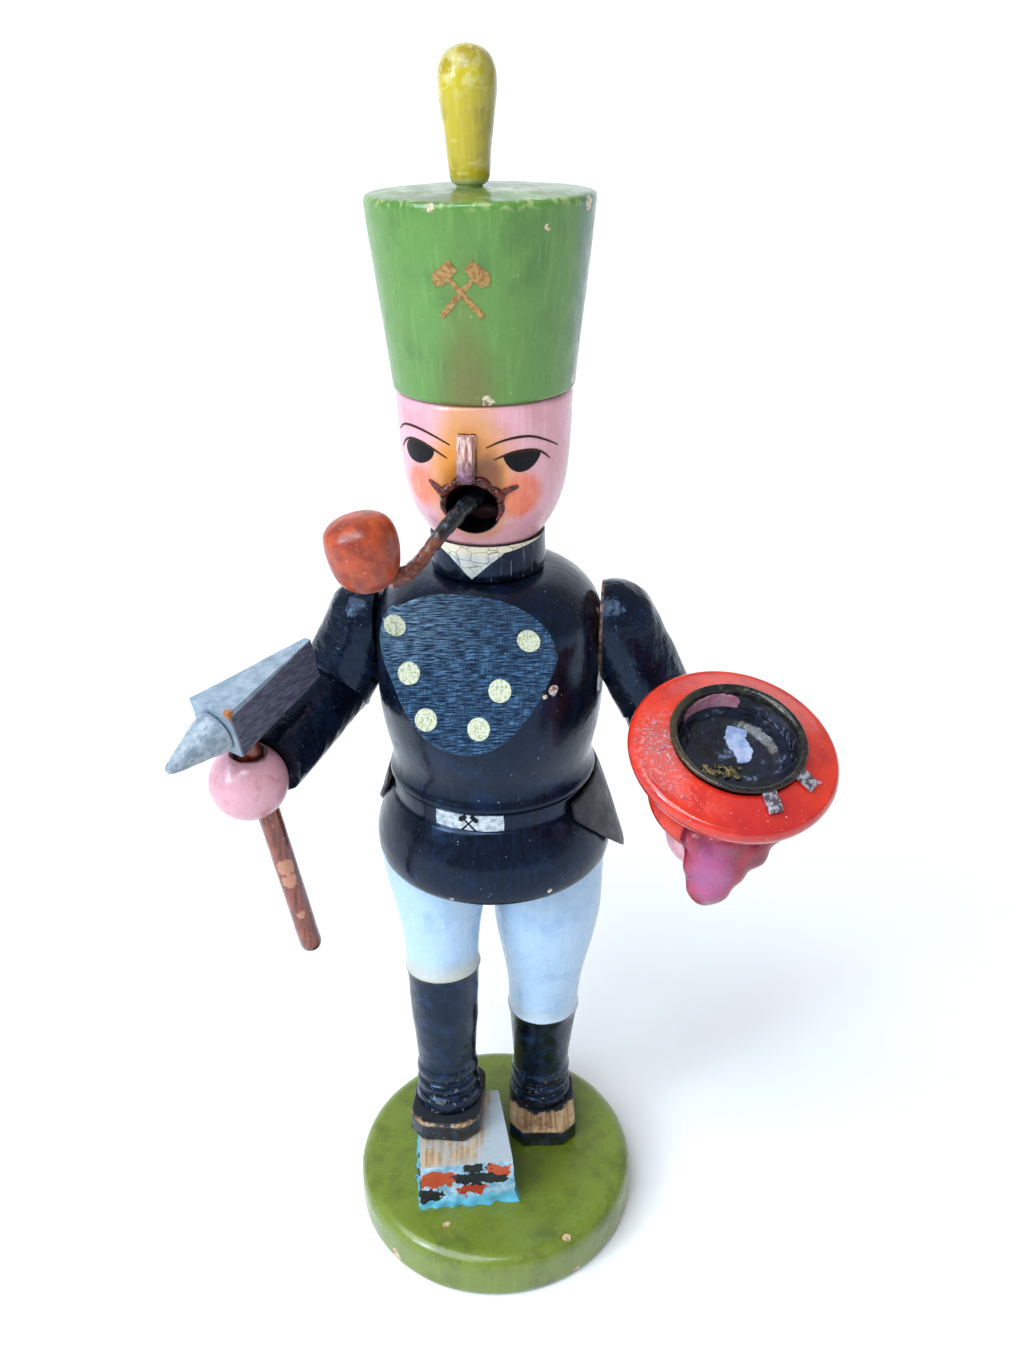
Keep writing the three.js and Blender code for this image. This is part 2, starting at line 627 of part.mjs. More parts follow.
// ---- dish, cup and wax ----
function makeDish() {
  const inside = [[19.8, 0.1], [14.4, 2], [13.2, 2], [13.2, -6.2], [0, -6.2]];
  const dish = turnedAlong([...dishProfile(0), ...inside], DISH_CENTRE, DISH_UP, SEG);
  add('candle_dish', dish, MAT.dish);
  const cup = [
    [0, -5.8], [11.9, -5.8], [12.5, -5.2], [12.8, 2.2], [13.9, 2.8], [CUP_R, 3.4], [13.7, 3.9],
    [12.6, 3.5], [12.2, 2.6], [CANDLE_R, -4.8], [10.8, -5.2], [0, -5.2],
  ];
  let metal = solid(turnedAlong(cup, DISH_CENTRE, DISH_UP, 24));
  for (const angle of [-72, -36]) {
    const tab = new THREE.BoxGeometry(4.4, 3, 0.5);
    tab.rotateY(THREE.MathUtils.degToRad(19.4));
    tab.translate(15.6, 0, 2.4);
    tab.rotateZ(THREE.MathUtils.degToRad(angle));
    tab.applyQuaternion(new THREE.Quaternion().setFromUnitVectors(Z_AXIS, DISH_UP));
    tab.translate(DISH_CENTRE.x, DISH_CENTRE.y, DISH_CENTRE.z);
    metal = metal.add(solid(tab));
  }
  add('candle_cup', shape(metal), MAT.brass);
}

// a run of spilt wax under the front of the dish
function makeWax() {
  const lumps = [
    [46.2, -31.4, 126.6, 6.2, 4.6, 7.4], [45.4, -31.8, 121.4, 4.6, 4, 4.8], [51.6, -30.6, 129.8, 6.2, 4.6, 5.4],
    [56, -29.2, 132.2, 4.2, 4, 3.6], [44.2, -29.6, 131.2, 4.6, 4.4, 4.8], [49, -31, 132.4, 5.4, 4.6, 4.6],
  ];
  let wax = null;
  for (const [x, y, z, a, b, c] of lumps) {
    const g = new THREE.SphereGeometry(1, 12, 8);
    g.scale(a, b, c);
    g.translate(x, y, z);
    wax = wax ? wax.add(solid(g)) : solid(g);
  }
  const ball = new THREE.SphereGeometry(HAND_R + GAP, 20, 12);
  ball.translate(LEFT.hand.x, LEFT.hand.y, LEFT.hand.z);
  add('wax_run', shape(wax.subtract(grownDish()).subtract(solid(ball))), MAT.wax);
}

// ---- assembly ----
const LEFT_FOOT = new THREE.Vector3(12.4, 14.6, BASE_H + 2 * GAP + SOLE_T);
const LEFT_HIP = new THREE.Vector3(15, 14.6, HEM_Z - GAP);
const RIGHT_FOOT = new THREE.Vector3(-11.8, 0.6, BLOCK_TOP + 2 * GAP + SOLE_T);
const RIGHT_HIP = new THREE.Vector3(-12.3, 9.6, HEM_Z - GAP);

makeBase();
makeBlock();
makeSole('right_sole', -11.9, 0.6, BLOCK_TOP + GAP, -6);
makeSole('left_sole', 12.9, 10.7, BASE_H + GAP, -1);
makeLeg('right_leg', RIGHT_FOOT, RIGHT_HIP, RIGHT_BOOT_H);
makeLeg('left_leg', LEFT_FOOT, LEFT_HIP, LEFT_BOOT_H);
makeHips([RIGHT_HIP, LEFT_HIP]);
add('belt_buckle', curvedPlate(BELT_R + 0.15, BELT_R + 0.55, 119.5, 123.8, 12.5, 18, 12), MAT.silver);
makeLeather();
makePlate();
makeTorso();
makeCollar();
makeHead();
makeHat();
makePipe();
const rightFore = makeArm('right', -1, RIGHT);
const leftFore = makeArm('left', 1, LEFT);
const bore = solid(rod(hammerPoint(0, 0, -20), hammerPoint(0, 0, 20), HANDLE_R + GAP));
makeHand('right_hand', RIGHT.hand, HAND_SHIFT, rightFore, (hand) => hand.subtract(bore));
const underDish = DISH_CENTRE.clone().addScaledVector(DISH_UP, DISH_FOOT - GAP);
makeHand('left_hand', LEFT.hand, new THREE.Vector3(), leftFore, (hand) => hand.intersect(behind(underDish, DISH_UP)));
makeHammer();
makeDish();
makeWax();

export default group;
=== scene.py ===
import math

import bmesh
import bpy
from mathutils import Matrix, Vector, noise
from mathutils.geometry import delaunay_2d_cdt


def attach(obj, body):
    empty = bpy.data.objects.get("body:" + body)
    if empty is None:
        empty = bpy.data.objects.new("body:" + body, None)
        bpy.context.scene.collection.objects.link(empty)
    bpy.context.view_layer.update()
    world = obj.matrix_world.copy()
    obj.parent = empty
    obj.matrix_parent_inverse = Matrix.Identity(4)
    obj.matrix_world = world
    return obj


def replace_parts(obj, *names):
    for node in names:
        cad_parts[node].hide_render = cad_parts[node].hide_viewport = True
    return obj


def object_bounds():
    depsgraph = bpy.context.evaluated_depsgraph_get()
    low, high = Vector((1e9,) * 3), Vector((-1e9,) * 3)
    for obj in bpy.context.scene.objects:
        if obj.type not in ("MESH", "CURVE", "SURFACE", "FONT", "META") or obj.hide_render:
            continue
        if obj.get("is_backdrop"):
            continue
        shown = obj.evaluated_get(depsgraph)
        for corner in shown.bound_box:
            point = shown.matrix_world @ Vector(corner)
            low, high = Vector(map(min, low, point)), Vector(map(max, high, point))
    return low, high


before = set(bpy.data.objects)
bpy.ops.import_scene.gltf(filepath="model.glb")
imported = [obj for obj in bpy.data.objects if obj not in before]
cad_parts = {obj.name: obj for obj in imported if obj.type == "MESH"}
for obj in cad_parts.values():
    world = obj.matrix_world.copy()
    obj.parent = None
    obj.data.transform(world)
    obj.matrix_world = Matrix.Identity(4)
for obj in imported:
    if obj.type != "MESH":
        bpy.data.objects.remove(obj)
CAD_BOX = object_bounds()

MM = 0.001
UP = Vector((0, 0, 1))
BODY = Vector((1.5, 15, 0))          # axis of hips, torso, head and hat
BASE_H = 12.6
BLOCK_TOP = 26.4
RIGHT_BOOT_H = 39.4
LEFT_BOOT_H = 31.3
HEM_Z = 101.7
BELT_R = 23.6
BELT_TOP = 123.9
FACET_TURN = 16
FACET_TILT = 22.6
FACET_D = 19.4
FACET_Z = 150
FACET_TOP_D = 16.6                   # the flat's upright upper part, from the body's axis
FACE_TURN = 11
MOUTH_R = 5.7
MOUTH_Z = 191.8
MOUTH_S = 3.15                       # arc length from the front, towards -X
SHOULDER_TURN = 8
ARM_FLAT = 25
SPOT_R = 12.6                        # flat on the torso where an arm is glued
SLEEVE_R = 9
FOREARM_R = 7.9
HAND_R = 8.5
CUFF_BACK = 4.8
HANDLE_R = 2.6
HEAD_ABOVE = 12.6                    # hammer's block above the hand's middle
HANDLE_LOW = -52.4                   # foot of the handle below the hand's middle
SPIGOT_R = 17.7
SPIGOT_TOP = 129.8
PLATE_Z = 130.1
LEG_R = 13.55
DOT_R = 2.5
DISH_DROP = 29.2                     # from the dish's rim down to the left hand's middle
CAMERA_AT = Vector((3.37, -231.47, 270.53))
CAMERA_TURNS = (26.72, -0.925, 0.396)  # degrees down, of roll and to the side
CAMERA_LENS = 32.0

RIGHT_SHOULDER = Vector((-26.3, 18.8, 160.2))
RIGHT_ELBOW = Vector((-34.9, 18.4, 143.2))
RIGHT_HAND = Vector((-48.5, -12, 136.2))
LEFT_SHOULDER = Vector((29.4, 11, 162))
LEFT_ELBOW = Vector((39.8, 11.2, 140.6))
DISH_CENTRE = Vector((50.65, -22.8, 148.25))
DISH_UP = Vector((0.103, -0.36, 0.927)).normalized()
LEFT_HAND = DISH_CENTRE - DISH_DROP * DISH_UP
HAND_SHIFT = Vector((-1.9, -0.5, 0))  # the right hand's ball, beside the handle's axis
HAMMER_UP = Vector((-0.117, -0.148, 0.982)).normalized()
HAMMER_SIDE = Vector((-0.599, -0.778, -0.189)).cross(HAMMER_UP).normalized()
HAMMER_FRONT = HAMMER_UP.cross(HAMMER_SIDE).normalized()

HIPS = [
    (27.2, HEM_Z), (28.0, 103.0), (28.3, 105.5), (28.2, 108.0), (27.4, 111.5), (26.0, 115.2),
    (24.7, 117.9), (24.2, 118.9), (BELT_R, 119.4), (BELT_R, BELT_TOP),
]
TORSO = [
    (24.2, 124.4), (24.2, 125.2), (23.5, 126.6), (23.2, 128.6), (23.6, 131.2), (24.4, 134.6),
    (25.2, 139.2), (25.7, 144.5), (25.8, 151), (25.7, 158), (25.3, 162.6), (24.4, 166),
    (23, 168.4), (20.9, 170.6), (18.4, 172.4), (15.8, 173.5), (13.5, 173.9),
]
COLLAR = [(12.3, 174.2), (12.6, 176.2), (12.5, 179.6), (12.45, 182.4)]
HEAD = [
    (9.2, 180.5), (11.2, 182), (13.3, 184.8), (15.2, 188.3), (16.4, 191.6), (17.1, 195.2),
    (17.5, 199.2), (17.9, 205), (18.2, 213.2),
]
DISH = [
    (0, -20.6), (9.4, -20.6), (12.8, -20), (14.6, -18.2), (14.6, -17.2), (13.6, -15), (11.8, -12.2),
    (11.4, -10.4),
    (12.4, -8.6), (16.4, -6.2), (20.4, -4.6), (21.6, -2.6), (21.6, -1.2), (20.8, 0),
]
HAT = [(18.6, 213.25), (19.1, 218.6), (20.7, 232.2), (22.1, 245.2), (22.5, 249.4)]


# ---- small geometry helpers ----
def facing(degrees):
    """Horizontal direction at an angle from the front, positive towards -X."""
    a = math.radians(degrees)
    return Vector((-math.sin(a), -math.cos(a), 0))


def facet_plane():
    tilt = math.radians(FACET_TILT)
    normal = facing(FACET_TURN) * math.cos(tilt) + UP * math.sin(tilt)
    return BODY + UP * FACET_Z + normal * FACET_D, normal


def facet_depth(z):
    """From the body's axis to the chest's flat, which leans back and then rises upright."""
    tilt = math.radians(FACET_TILT)
    lower = FACET_D / math.cos(tilt) - (z - FACET_Z) * math.tan(tilt)
    bend = 1.0
    t = max(0, min(1, 0.5 + 0.5 * (lower - FACET_TOP_D) / bend))
    return FACET_TOP_D + (lower - FACET_TOP_D) * t + bend * t * (1 - t) * 0.5


def filleted(points, reach, steps=3):
    """The same line with each corner rounded, starting at most `reach` from the corner."""
    points = [Vector(p) for p in points]
    out = [points[0]]
    for a, b, c in zip(points, points[1:], points[2:]):
        start = b + (a - b) * min(0.48, reach / (a - b).length)
        end = b + (c - b) * min(0.48, reach / (c - b).length)
        for k in range(steps + 1):
            t = k / steps
            out.append(start * (1 - t) ** 2 + b * 2 * t * (1 - t) + end * t ** 2)
    out.append(points[-1])
    return out


def dense(points, step):
    """The same line with its long stretches divided."""
    out = [points[0]]
    for a, b in zip(points, points[1:]):
        parts = max(1, math.ceil((b - a).length / step))
        out.extend(a + (b - a) * (k / parts) for k in range(1, parts + 1))
    return out


def radius_at(profile, z):
    for (r0, z0), (r1, z1) in zip(profile, profile[1:]):
        if z <= z1:
            return r0 + (r1 - r0) * max(0, (z - z0) / (z1 - z0))
    return profile[-1][0]


def across(axis):
    """Two directions square to an axis and to each other."""
    axis = axis.normalized()
    if abs(axis.z) > 0.999:
        return Vector((1, 0, 0)), Vector((0, 1, 0))
    u = UP.cross(axis).normalized()
    return u, axis.cross(u)


def ripple(point, size):
    """A smooth random number from -1 to 1 that changes over `size` millimetres."""
    return noise.noise(Vector(point) / size)


def lathe(profile, origin, axis=UP, segments=96, ring=False, shape=None):
    """A turning. Heights of the profile run along `axis`; `shape` may change a point's radius."""
    u, v = across(axis)
    w = axis.normalized()
    points = []
    rings = []
    for r, h in profile:
        if r < 1e-6:
            rings.append([len(points)] * segments)
            points.append(origin + w * h)
            continue
        rings.append(list(range(len(points), len(points) + segments)))
        for k in range(segments):
            a = 2 * math.pi * k / segments
            out = u * math.cos(a) + v * math.sin(a)
            radius = shape(out, r, h) if shape else r
            points.append(origin + out * radius + w * h)
    pairs = list(zip(rings, rings[1:]))
    if ring:
        pairs.append((rings[-1], rings[0]))
    faces = []
    for low, high in pairs:
        for k in range(segments):
            n = (k + 1) % segments
            corners = dict.fromkeys((low[k], low[n], high[n], high[k]))
            if len(corners) > 2:
                faces.append(tuple(corners))
    return make_mesh(points, faces)


def uneven(depth, size, less=0.0, beyond=-1.0, shift=Vector()):
    """A rule for lathe: the radius less a little, and uneven where it is more than `beyond`."""
    def shape(out, r, h):
        return r - less + (depth * ripple(out * r + UP * h + shift, size) if r > beyond else 0)
    return shape


def make_mesh(points, faces, move=None):
    """A mesh in metres from points in millimetres, with its faces turned outwards."""
    bm = bmesh.new()
    for p in points:
        bm.verts.new(move(p) * MM if move else p * MM)
    bm.verts.ensure_lookup_table()
    for f in faces:
        bm.faces.new([bm.verts[i] for i in f])
    bmesh.ops.remove_doubles(bm, verts=bm.verts, dist=1e-7)
    bmesh.ops.recalc_face_normals(bm, faces=bm.faces)
    mesh = bpy.data.meshes.new("shape")
    bm.to_mesh(mesh)
    bm.free()
    return mesh


def moved(mesh, move):
    """Moves every point of a mesh by a rule in millimetres."""
    for v in mesh.vertices:
        v.co = move(v.co / MM) * MM
    return mesh


def sliced(mesh, point, normal):
    """The part of a closed mesh behind a plane, closed again with a flat face."""
    bm = bmesh.new()
    bm.from_mesh(mesh)
    cut = bmesh.ops.bisect_plane(
        bm, geom=bm.verts[:] + bm.edges[:] + bm.faces[:], plane_co=point * MM, plane_no=normal,
        clear_outer=True, dist=1e-8,
    )
    edges = [e for e in cut["geom_cut"] if isinstance(e, bmesh.types.BMEdge)]
    bmesh.ops.holes_fill(bm, edges=edges)
    bmesh.ops.recalc_face_normals(bm, faces=bm.faces)
    bm.to_mesh(mesh)
    bm.free()
    return mesh


def modified(mesh, *steps):
    """The mesh after some modifiers, each given as (kind, settings)."""
    obj = bpy.data.objects.new("work", mesh)
    bpy.context.scene.collection.objects.link(obj)
    for kind, settings in steps:
        modifier = obj.modifiers.new(kind, kind)
        for key, value in settings.items():
            setattr(modifier, key, value)
    seen = obj.evaluated_get(bpy.context.evaluated_depsgraph_get())
    made = bpy.data.meshes.new_from_object(seen)
    bpy.data.objects.remove(obj)
    return made


def cut_by(mesh, *cutters):
    """The mesh with the cutters' space taken away."""
    steps = []
    helpers = []
    for cutter in cutters:
        helper = bpy.data.objects.new("cutter", cutter)
        bpy.context.scene.collection.objects.link(helper)
        helpers.append(helper)
        steps.append(("BOOLEAN", {"operation": "DIFFERENCE", "object": helper, "solver": "EXACT"}))
    made = modified(mesh, *steps)
    for helper in helpers:
        bpy.data.objects.remove(helper)
    return made


def softened(mesh, width, segments=2, angle=35):
    """The mesh with its sharp edges rounded."""
    return modified(mesh, ("BEVEL", {
        "width": width * MM, "segments": segments, "limit_method": "ANGLE",
        "angle_limit": math.radians(angle), "harden_normals": False,
    }))


def ball_profile(radius, to, step):
    """The profile of a ball about its middle, from its foot up to an angle in degrees."""
    turns = [math.radians(a) for a in range(0, to + 1, step)]
    return [(radius * math.sin(a), -radius * math.cos(a)) for a in turns]


def rod(start, end, radius, segments=32):
    length = (end - start).length
    profile = [(0, 0), (radius, 0), (radius, length), (0, length)]
    return lathe(profile, start, end - start, segments)


def extra(name, mesh, material, body, angle=38):
    """Puts a finished mesh in the scene on its body, beside the pieces that the CAD has."""
    mesh.name = name
    mesh.materials.clear()
    mesh.materials.append(material)
    mesh.shade_smooth()
    mesh.set_sharp_from_angle(angle=math.radians(angle))
    obj = bpy.data.objects.new(name, mesh)
    bpy.context.scene.collection.objects.link(obj)
    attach(obj, body)
    return obj


def piece(name, mesh, material, body, angle=38):
    """A mesh that stands in for the CAD node of the same name."""
    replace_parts(extra(name, mesh, material, body, angle), name)


def grid_faces(rows, count, closed=True):
    """Faces between rows of `count` points; closed rows join their last point to their first."""
    return [
        (j * count + i, j * count + (i + 1) % count, (j + 1) * count + (i + 1) % count, (j + 1) * count + i)
        for j in range(rows) for i in range(count if closed else count - 1)
    ]


def outline_of(corners, step):
    """The closed line through the corners, with its long stretches divided."""
    corners = [*map(Vector, corners)]
    return dense([*corners, corners[0]], step)[:-1]


# ---- thin paint films that follow a surface ----
def on_turning(profile):
    """Places (arc length from the front, height, lift) on a turning about the body's axis."""
    def place(s, z, lift):
        r = radius_at(profile, z)
        return BODY + facing(math.degrees(s / r)) * (r + lift) + UP * z
    return place


def on_facet(s, z, lift):
    """Places (distance sideways towards -X, height, lift) on the chest's sawn flat."""
    return BODY + facing(FACET_TURN) * (facet_depth(z) + lift) + facing(FACET_TURN + 90) * s + UP * z


def loop(points, steps=6):
    """A smooth closed line through the points."""
    n = len(points)
    out = []
    for i in range(n):
        p0, p1, p2, p3 = (Vector(points[(i + k - 1) % n]) for k in range(4))
        for k in range(steps):
            t = k / steps
            out.append(0.5 * (2 * p1 + (p2 - p0) * t + (2 * p0 - 5 * p1 + 4 * p2 - p3) * t * t
                              + (3 * p1 - p0 - 3 * p2 + p3) * t ** 3))
    return out


def stroke(points, widths):
    """The outline of a brush stroke along a line, with its width at each point."""
    line = dense(filleted(points, 3), 0.5)
    total = sum((b - a).length for a, b in zip(line, line[1:]))
    run = 0
    left = []
    right = []
    for i, p in enumerate(line):
        ahead = line[min(i + 1, len(line) - 1)]
        back = line[max(i - 1, 0)]
        if i:
            run += (p - back).length
        place = run / total * (len(widths) - 1)
        k = min(int(place), len(widths) - 2)
        width = widths[k] + (widths[k + 1] - widths[k]) * (place - k)
        along = (ahead - back).normalized()
        out = Vector((-along.y, along.x)) * width / 2
        left.append(p + out)
        right.append(p - out)
    return left + right[::-1]


def film(outline, place, thick=0.14, step=0.7, ragged=0.0):
    """A thin closed film of paint inside an outline on a surface."""
    outline = [Vector(p) for p in outline]
    if ragged:
        outline = [
            p + ragged * Vector((ripple((p.x, p.y, 3), 0.5), ripple((p.x, p.y, 9), 0.5))) for p in outline
        ]
    n = len(outline)
    xs = [p.x for p in outline]
    ys = [p.y for p in outline]
    inner = [
        Vector((min(xs) + i * step, min(ys) + j * step))
        for i in range(1, int((max(xs) - min(xs)) / step) + 1)
        for j in range(1, int((max(ys) - min(ys)) / step) + 1)
    ]
    edges = [(i, (i + 1) % n) for i in range(n)]
    flat, _, triangles, *_ = delaunay_2d_cdt(outline + inner, edges, [], 1, 1e-5)
    points = []
    for lift in (thick, -0.12):
        points.extend(place(p.x, p.y, lift) for p in flat)
    m = len(flat)
    used = dict.fromkeys((a, b) for t in triangles for a, b in zip(t, t[1:] + t[:1]))
    faces = [tuple(t) for t in triangles]
    faces += [tuple(i + m for i in reversed(t)) for t in triangles]
    faces += [(b, a, a + m, b + m) for a, b in used if (b, a) not in used]
    return make_mesh(points, faces)


def joined(*meshes):
    bm = bmesh.new()
    for mesh in meshes:
        bm.from_mesh(mesh)
    made = bpy.data.meshes.new("joined")
    bm.to_mesh(made)
    bm.free()
    return made


def hammers(place, centre, size, ragged):
    """Two crossed miner's hammers in outline, drawn on a surface."""
    films = []
    for side in (-1, 1):
        a = math.radians(42 * side)
        along = Vector((math.sin(a), math.cos(a)))
        cross = Vector((along.y, -along.x)) * side
        middle = Vector(centre)
        low = middle - along * size * 0.52
        high = middle + along * size * 0.4
        films.append(film(stroke([low, middle, high], [size * 0.1, size * 0.085, size * 0.075]),
                          place, 0.1 + 0.02 * side, 0.5, ragged))
        head = [
            high - cross * size * 0.2 - along * size * 0.1, high + cross * size * 0.17 - along * size * 0.12,
            high + cross * size * 0.27, high + cross * size * 0.16 + along * size * 0.14,
            high - cross * size * 0.21 + along * size * 0.12,
        ]
        films.append(film(outline_of(head, size * 0.05), place, 0.13 + 0.02 * side, 0.5, ragged))
    return joined(*films)


# ---- materials ----
def linear(colour):
    """A display colour (red, green, blue) of 0 to 255 as the renderer's own; sockets stay as they are."""
    if not isinstance(colour, tuple):
        return colour
    shares = [c / 255 for c in colour]
    return (*((c / 12.92 if c <= 0.04045 else ((c + 0.055) / 1.055) ** 2.4) for c in shares), 1.0)


FIBRE = (1, 1, 0.055)                # wood fibres that run up a turning
WOOD_PALE = (206, 178, 138)
SOOT = (12, 11, 12)
BLUE_GLOSS = (0.36, 0.6, 1.0, 1.0)   # tint of the daylight mirrored in black enamel


class Shade:
    """One material's nodes, with short calls for what is needed here. Places are in millimetres."""

    def __init__(self, name, **sockets):
        self.material = bpy.data.materials.new(name)
        self.material.use_nodes = True
        self.tree = self.material.node_tree
        self.surface = self.tree.nodes["Principled BSDF"]
        self.colour = None
        self.roughness = None
        self.bumps = []
        for key, value in sockets.items():
            self.surface.inputs[key.replace("_", " ")].default_value = value
        place = self.tree.nodes.new("ShaderNodeTexCoord").outputs["Object"]
        self.place = self.vector("MULTIPLY", place, (1000, 1000, 1000))

    def over(self, paint, mask, amount=None):
        """Paints over the colour so far."""
        self.colour = self.mix(self.colour, paint, mask, amount)

    def rougher(self, amount):
        self.roughness = self.math("ADD", self.roughness, amount)

    def chips(self, spots, under=WOOD_PALE, stretch=(1, 1, 1)):
        """Chips in the paint at given spots (x, y, z, radius), showing what is under it."""
        mask = None
        for x, y, z, radius in spots:
            chip = self.near((x, y, z), radius, 0.08, radius * 0.75, stretch, radius * 1.3)
            mask = self.most(mask, chip) if mask else chip
        self.bumps.append((self.less(mask), 0.12))
        rim = self.mix(under, (120, 92, 66), self.patches(0.4, 0.65, 0.8, 3))
        self.over(rim, mask)

    def speckled(self, colour, over, size=0.8, least=0.70, amount=0.8):
        return self.mix(colour, over, self.patches(least, least + 0.03, size, 2), amount)

    def specks(self, *settings):
        self.colour = self.speckled(self.colour, *settings)

    def put(self, socket, value):
        if isinstance(value, bpy.types.NodeSocket):
            self.tree.links.new(value, socket)
        else:
            socket.default_value = value

    def vector(self, operation, a, b, output="Vector"):
        node = self.tree.nodes.new("ShaderNodeVectorMath")
        node.operation = operation
        self.put(node.inputs[0], a)
        self.put(node.inputs[1], b)
        return node.outputs[output]

    def math(self, operation, a, b=0.0):
        node = self.tree.nodes.new("ShaderNodeMath")
        node.operation = operation
        self.put(node.inputs[0], a)
        self.put(node.inputs[1], b)
        return node.outputs[0]

    def step(self, value, low, high):
        """0 below `low`, 1 above `high`, and smooth between; turned round when low is above high."""
        node = self.tree.nodes.new("ShaderNodeMapRange")
        node.interpolation_type = "SMOOTHSTEP"
        self.put(node.inputs[0], value)
        turned = low > high
        node.inputs[1].default_value = min(low, high)
        node.inputs[2].default_value = max(low, high)
        node.inputs[3].default_value = 1.0 if turned else 0.0
        node.inputs[4].default_value = 0.0 if turned else 1.0
        return node.outputs[0]

    def grain(self, size, detail=3.0, stretch=(1, 1, 1), rough=0.55, twist=0.0):
        """Random cloud, about 0 to 1, whose features are `size` millimetres."""
        node = self.tree.nodes.new("ShaderNodeTexNoise")
        node.inputs["Scale"].default_value = 1 / size
        node.inputs["Detail"].default_value = detail
        node.inputs["Roughness"].default_value = rough
        node.inputs["Distortion"].default_value = twist
        self.put(node.inputs["Vector"], self.vector("MULTIPLY", self.place, stretch))
        return node.outputs["Fac"]

    def patches(self, low, high, *cloud):
        """Random patches: 1 where a cloud of grain is above `high` and 0 where it is below `low`."""
        return self.step(self.grain(*cloud), low, high)

    def cells(self, size, stretch=(1, 1, 1)):
        """Distance to the nearest edge of a random net with meshes of `size` millimetres."""
        node = self.tree.nodes.new("ShaderNodeTexVoronoi")
        node.feature = "DISTANCE_TO_EDGE"
        node.inputs["Scale"].default_value = 1 / size
        self.put(node.inputs["Vector"], self.vector("MULTIPLY", self.place, stretch))
        return node.outputs["Distance"]

    def mix(self, under, over, mask, amount=None):
        """One colour over another where the mask is 1; `amount` makes the mask weaker."""
        if amount is not None:
            mask = self.times(mask, amount)
        node = self.tree.nodes.new("ShaderNodeMix")
        node.data_type = "RGBA"
        self.put(node.inputs[0], mask)
        self.put(node.inputs[6], linear(under))
        self.put(node.inputs[7], linear(over))
        return node.outputs[2]

    def less(self, mask):
        return self.math("SUBTRACT", 1.0, mask)

    def dot(self, direction):
        """How far a place lies along a direction, in millimetres."""
        return self.vector("DOT_PRODUCT", self.place, tuple(direction), "Value")

    def times(self, a, b):
        return self.math("MULTIPLY", a, b)

    def most(self, *values):
        found = values[0]
        for value in values[1:]:
            found = self.math("MAXIMUM", found, value)
        return found

    def shake(self, size, far):
        """A random shift of up to about `far` millimetres either way."""
        return self.times(self.math("SUBTRACT", self.grain(size, 4), 0.5), 2 * far)

    def near(self, point, radius, soft, ragged=0.0, stretch=(1, 1, 1), size=2.0):
        """1 inside a ball about a point, with a soft or ragged edge."""
        offset = self.vector("SUBTRACT", self.place, tuple(point))
        offset = self.vector("MULTIPLY", offset, stretch)
        distance = self.vector("LENGTH", offset, (0, 0, 0), "Value")
        if ragged:
            distance = self.math("ADD", distance, self.shake(size, ragged))
        return self.step(distance, radius + soft, radius - soft)

    def along(self, direction, low, high, ragged=0.0, size=3.0):
        """0 below `low` and 1 above `high` along a direction, the edge shaken by `ragged`."""
        value = self.dot(direction)
        if ragged:
            value = self.math("ADD", value, self.shake(size, ragged))
        return self.step(value, low, high)

    def from_axis(self, low, high):
        """0 to 1 by the distance from the body's axis."""
        offset = self.vector("SUBTRACT", self.place, tuple(BODY))
        flat = self.vector("MULTIPLY", offset, (1, 1, 0))
        return self.step(self.vector("LENGTH", flat, (0, 0, 0), "Value"), low, high)

    def done(self, roughness=None, bumps=None):
        """Joins the colour, the roughness and the bumps, each (height, depth in millimetres)."""
        self.put(self.surface.inputs["Base Color"], self.colour)
        self.put(self.surface.inputs["Roughness"], roughness or self.roughness)
        normal = None
        for height, depth in bumps or self.bumps:
            node = self.tree.nodes.new("ShaderNodeBump")
            node.inputs["Strength"].default_value = 1.0
            node.inputs["Distance"].default_value = depth * MM
            self.put(node.inputs["Height"], height)
            if normal:
                self.put(node.inputs["Normal"], normal)
            normal = node.outputs["Normal"]
        self.put(self.surface.inputs["Normal"], normal)
        return self.material

    def rough(self, low, high, size=4.0):
        """Roughness that wanders between two numbers."""
        cloud = self.step(self.grain(size, 5), 0.3, 0.7)
        return self.math("ADD", self.times(cloud, high - low), low)


def gloss_paint(name, colours, low=0.22, high=0.42, fibre=0.05, wave=0.12, streak=0.5, coat=0.3):
    """Enamel brushed on turned wood, to be added to."""
    s = Shade(name, Coat_Weight=coat, Coat_Roughness=0.12)
    dark, plain, light = colours
    cloud = s.grain(9, 4)
    s.colour = s.mix(dark, plain, s.step(cloud, 0.28, 0.52))
    brush = s.grain(0.9, 4, FIBRE)
    s.over(light, s.step(brush, 0.48, 0.72), streak)
    s.bumps = [(brush, fibre), (s.grain(4.5, 2), wave), (s.grain(0.35, 2), 0.006)]
    s.roughness = s.rough(low, high)
    return s


def green_base_paint():
    s = gloss_paint(
        "base_green", ((84, 100, 22), (106, 124, 34), (126, 142, 52)), 0.24, 0.42, 0.02, 0.1, 0.35)
    dust = s.times(s.patches(0.52, 0.75, 6, 5), 0.45)
    s.over((78, 76, 34), dust)
    s.specks((160, 168, 110), 0.7, 0.69, 0.5)
    rim = s.times(s.along(UP, 1.6, 0.2, 1.2, 2.5), 0.7)
    s.over((64, 58, 30), rim)
    # Painted shade: the top is darker round the figure's feet, where the figure's shadow falls.
    ring = s.near(Vector((1, 2, 12.6)), 24, 9, 5)
    s.over((82, 88, 26), ring, 0.4)
    spots = [(-12.5, -24.7, 12.6, 0.9), (17.5, -29, 12.6, 1.1), (-25.5, -25.3, 3, 1.6),
             (-33.4, -13.3, 5.5, 0.8), (20, -29.8, 1.5, 1.2), (34.6, -9, 2, 1.3), (-20, 29, 10, 1.2), (30, 19.5, 11.5, 1.0)]
    s.chips(spots)
    return s.done()


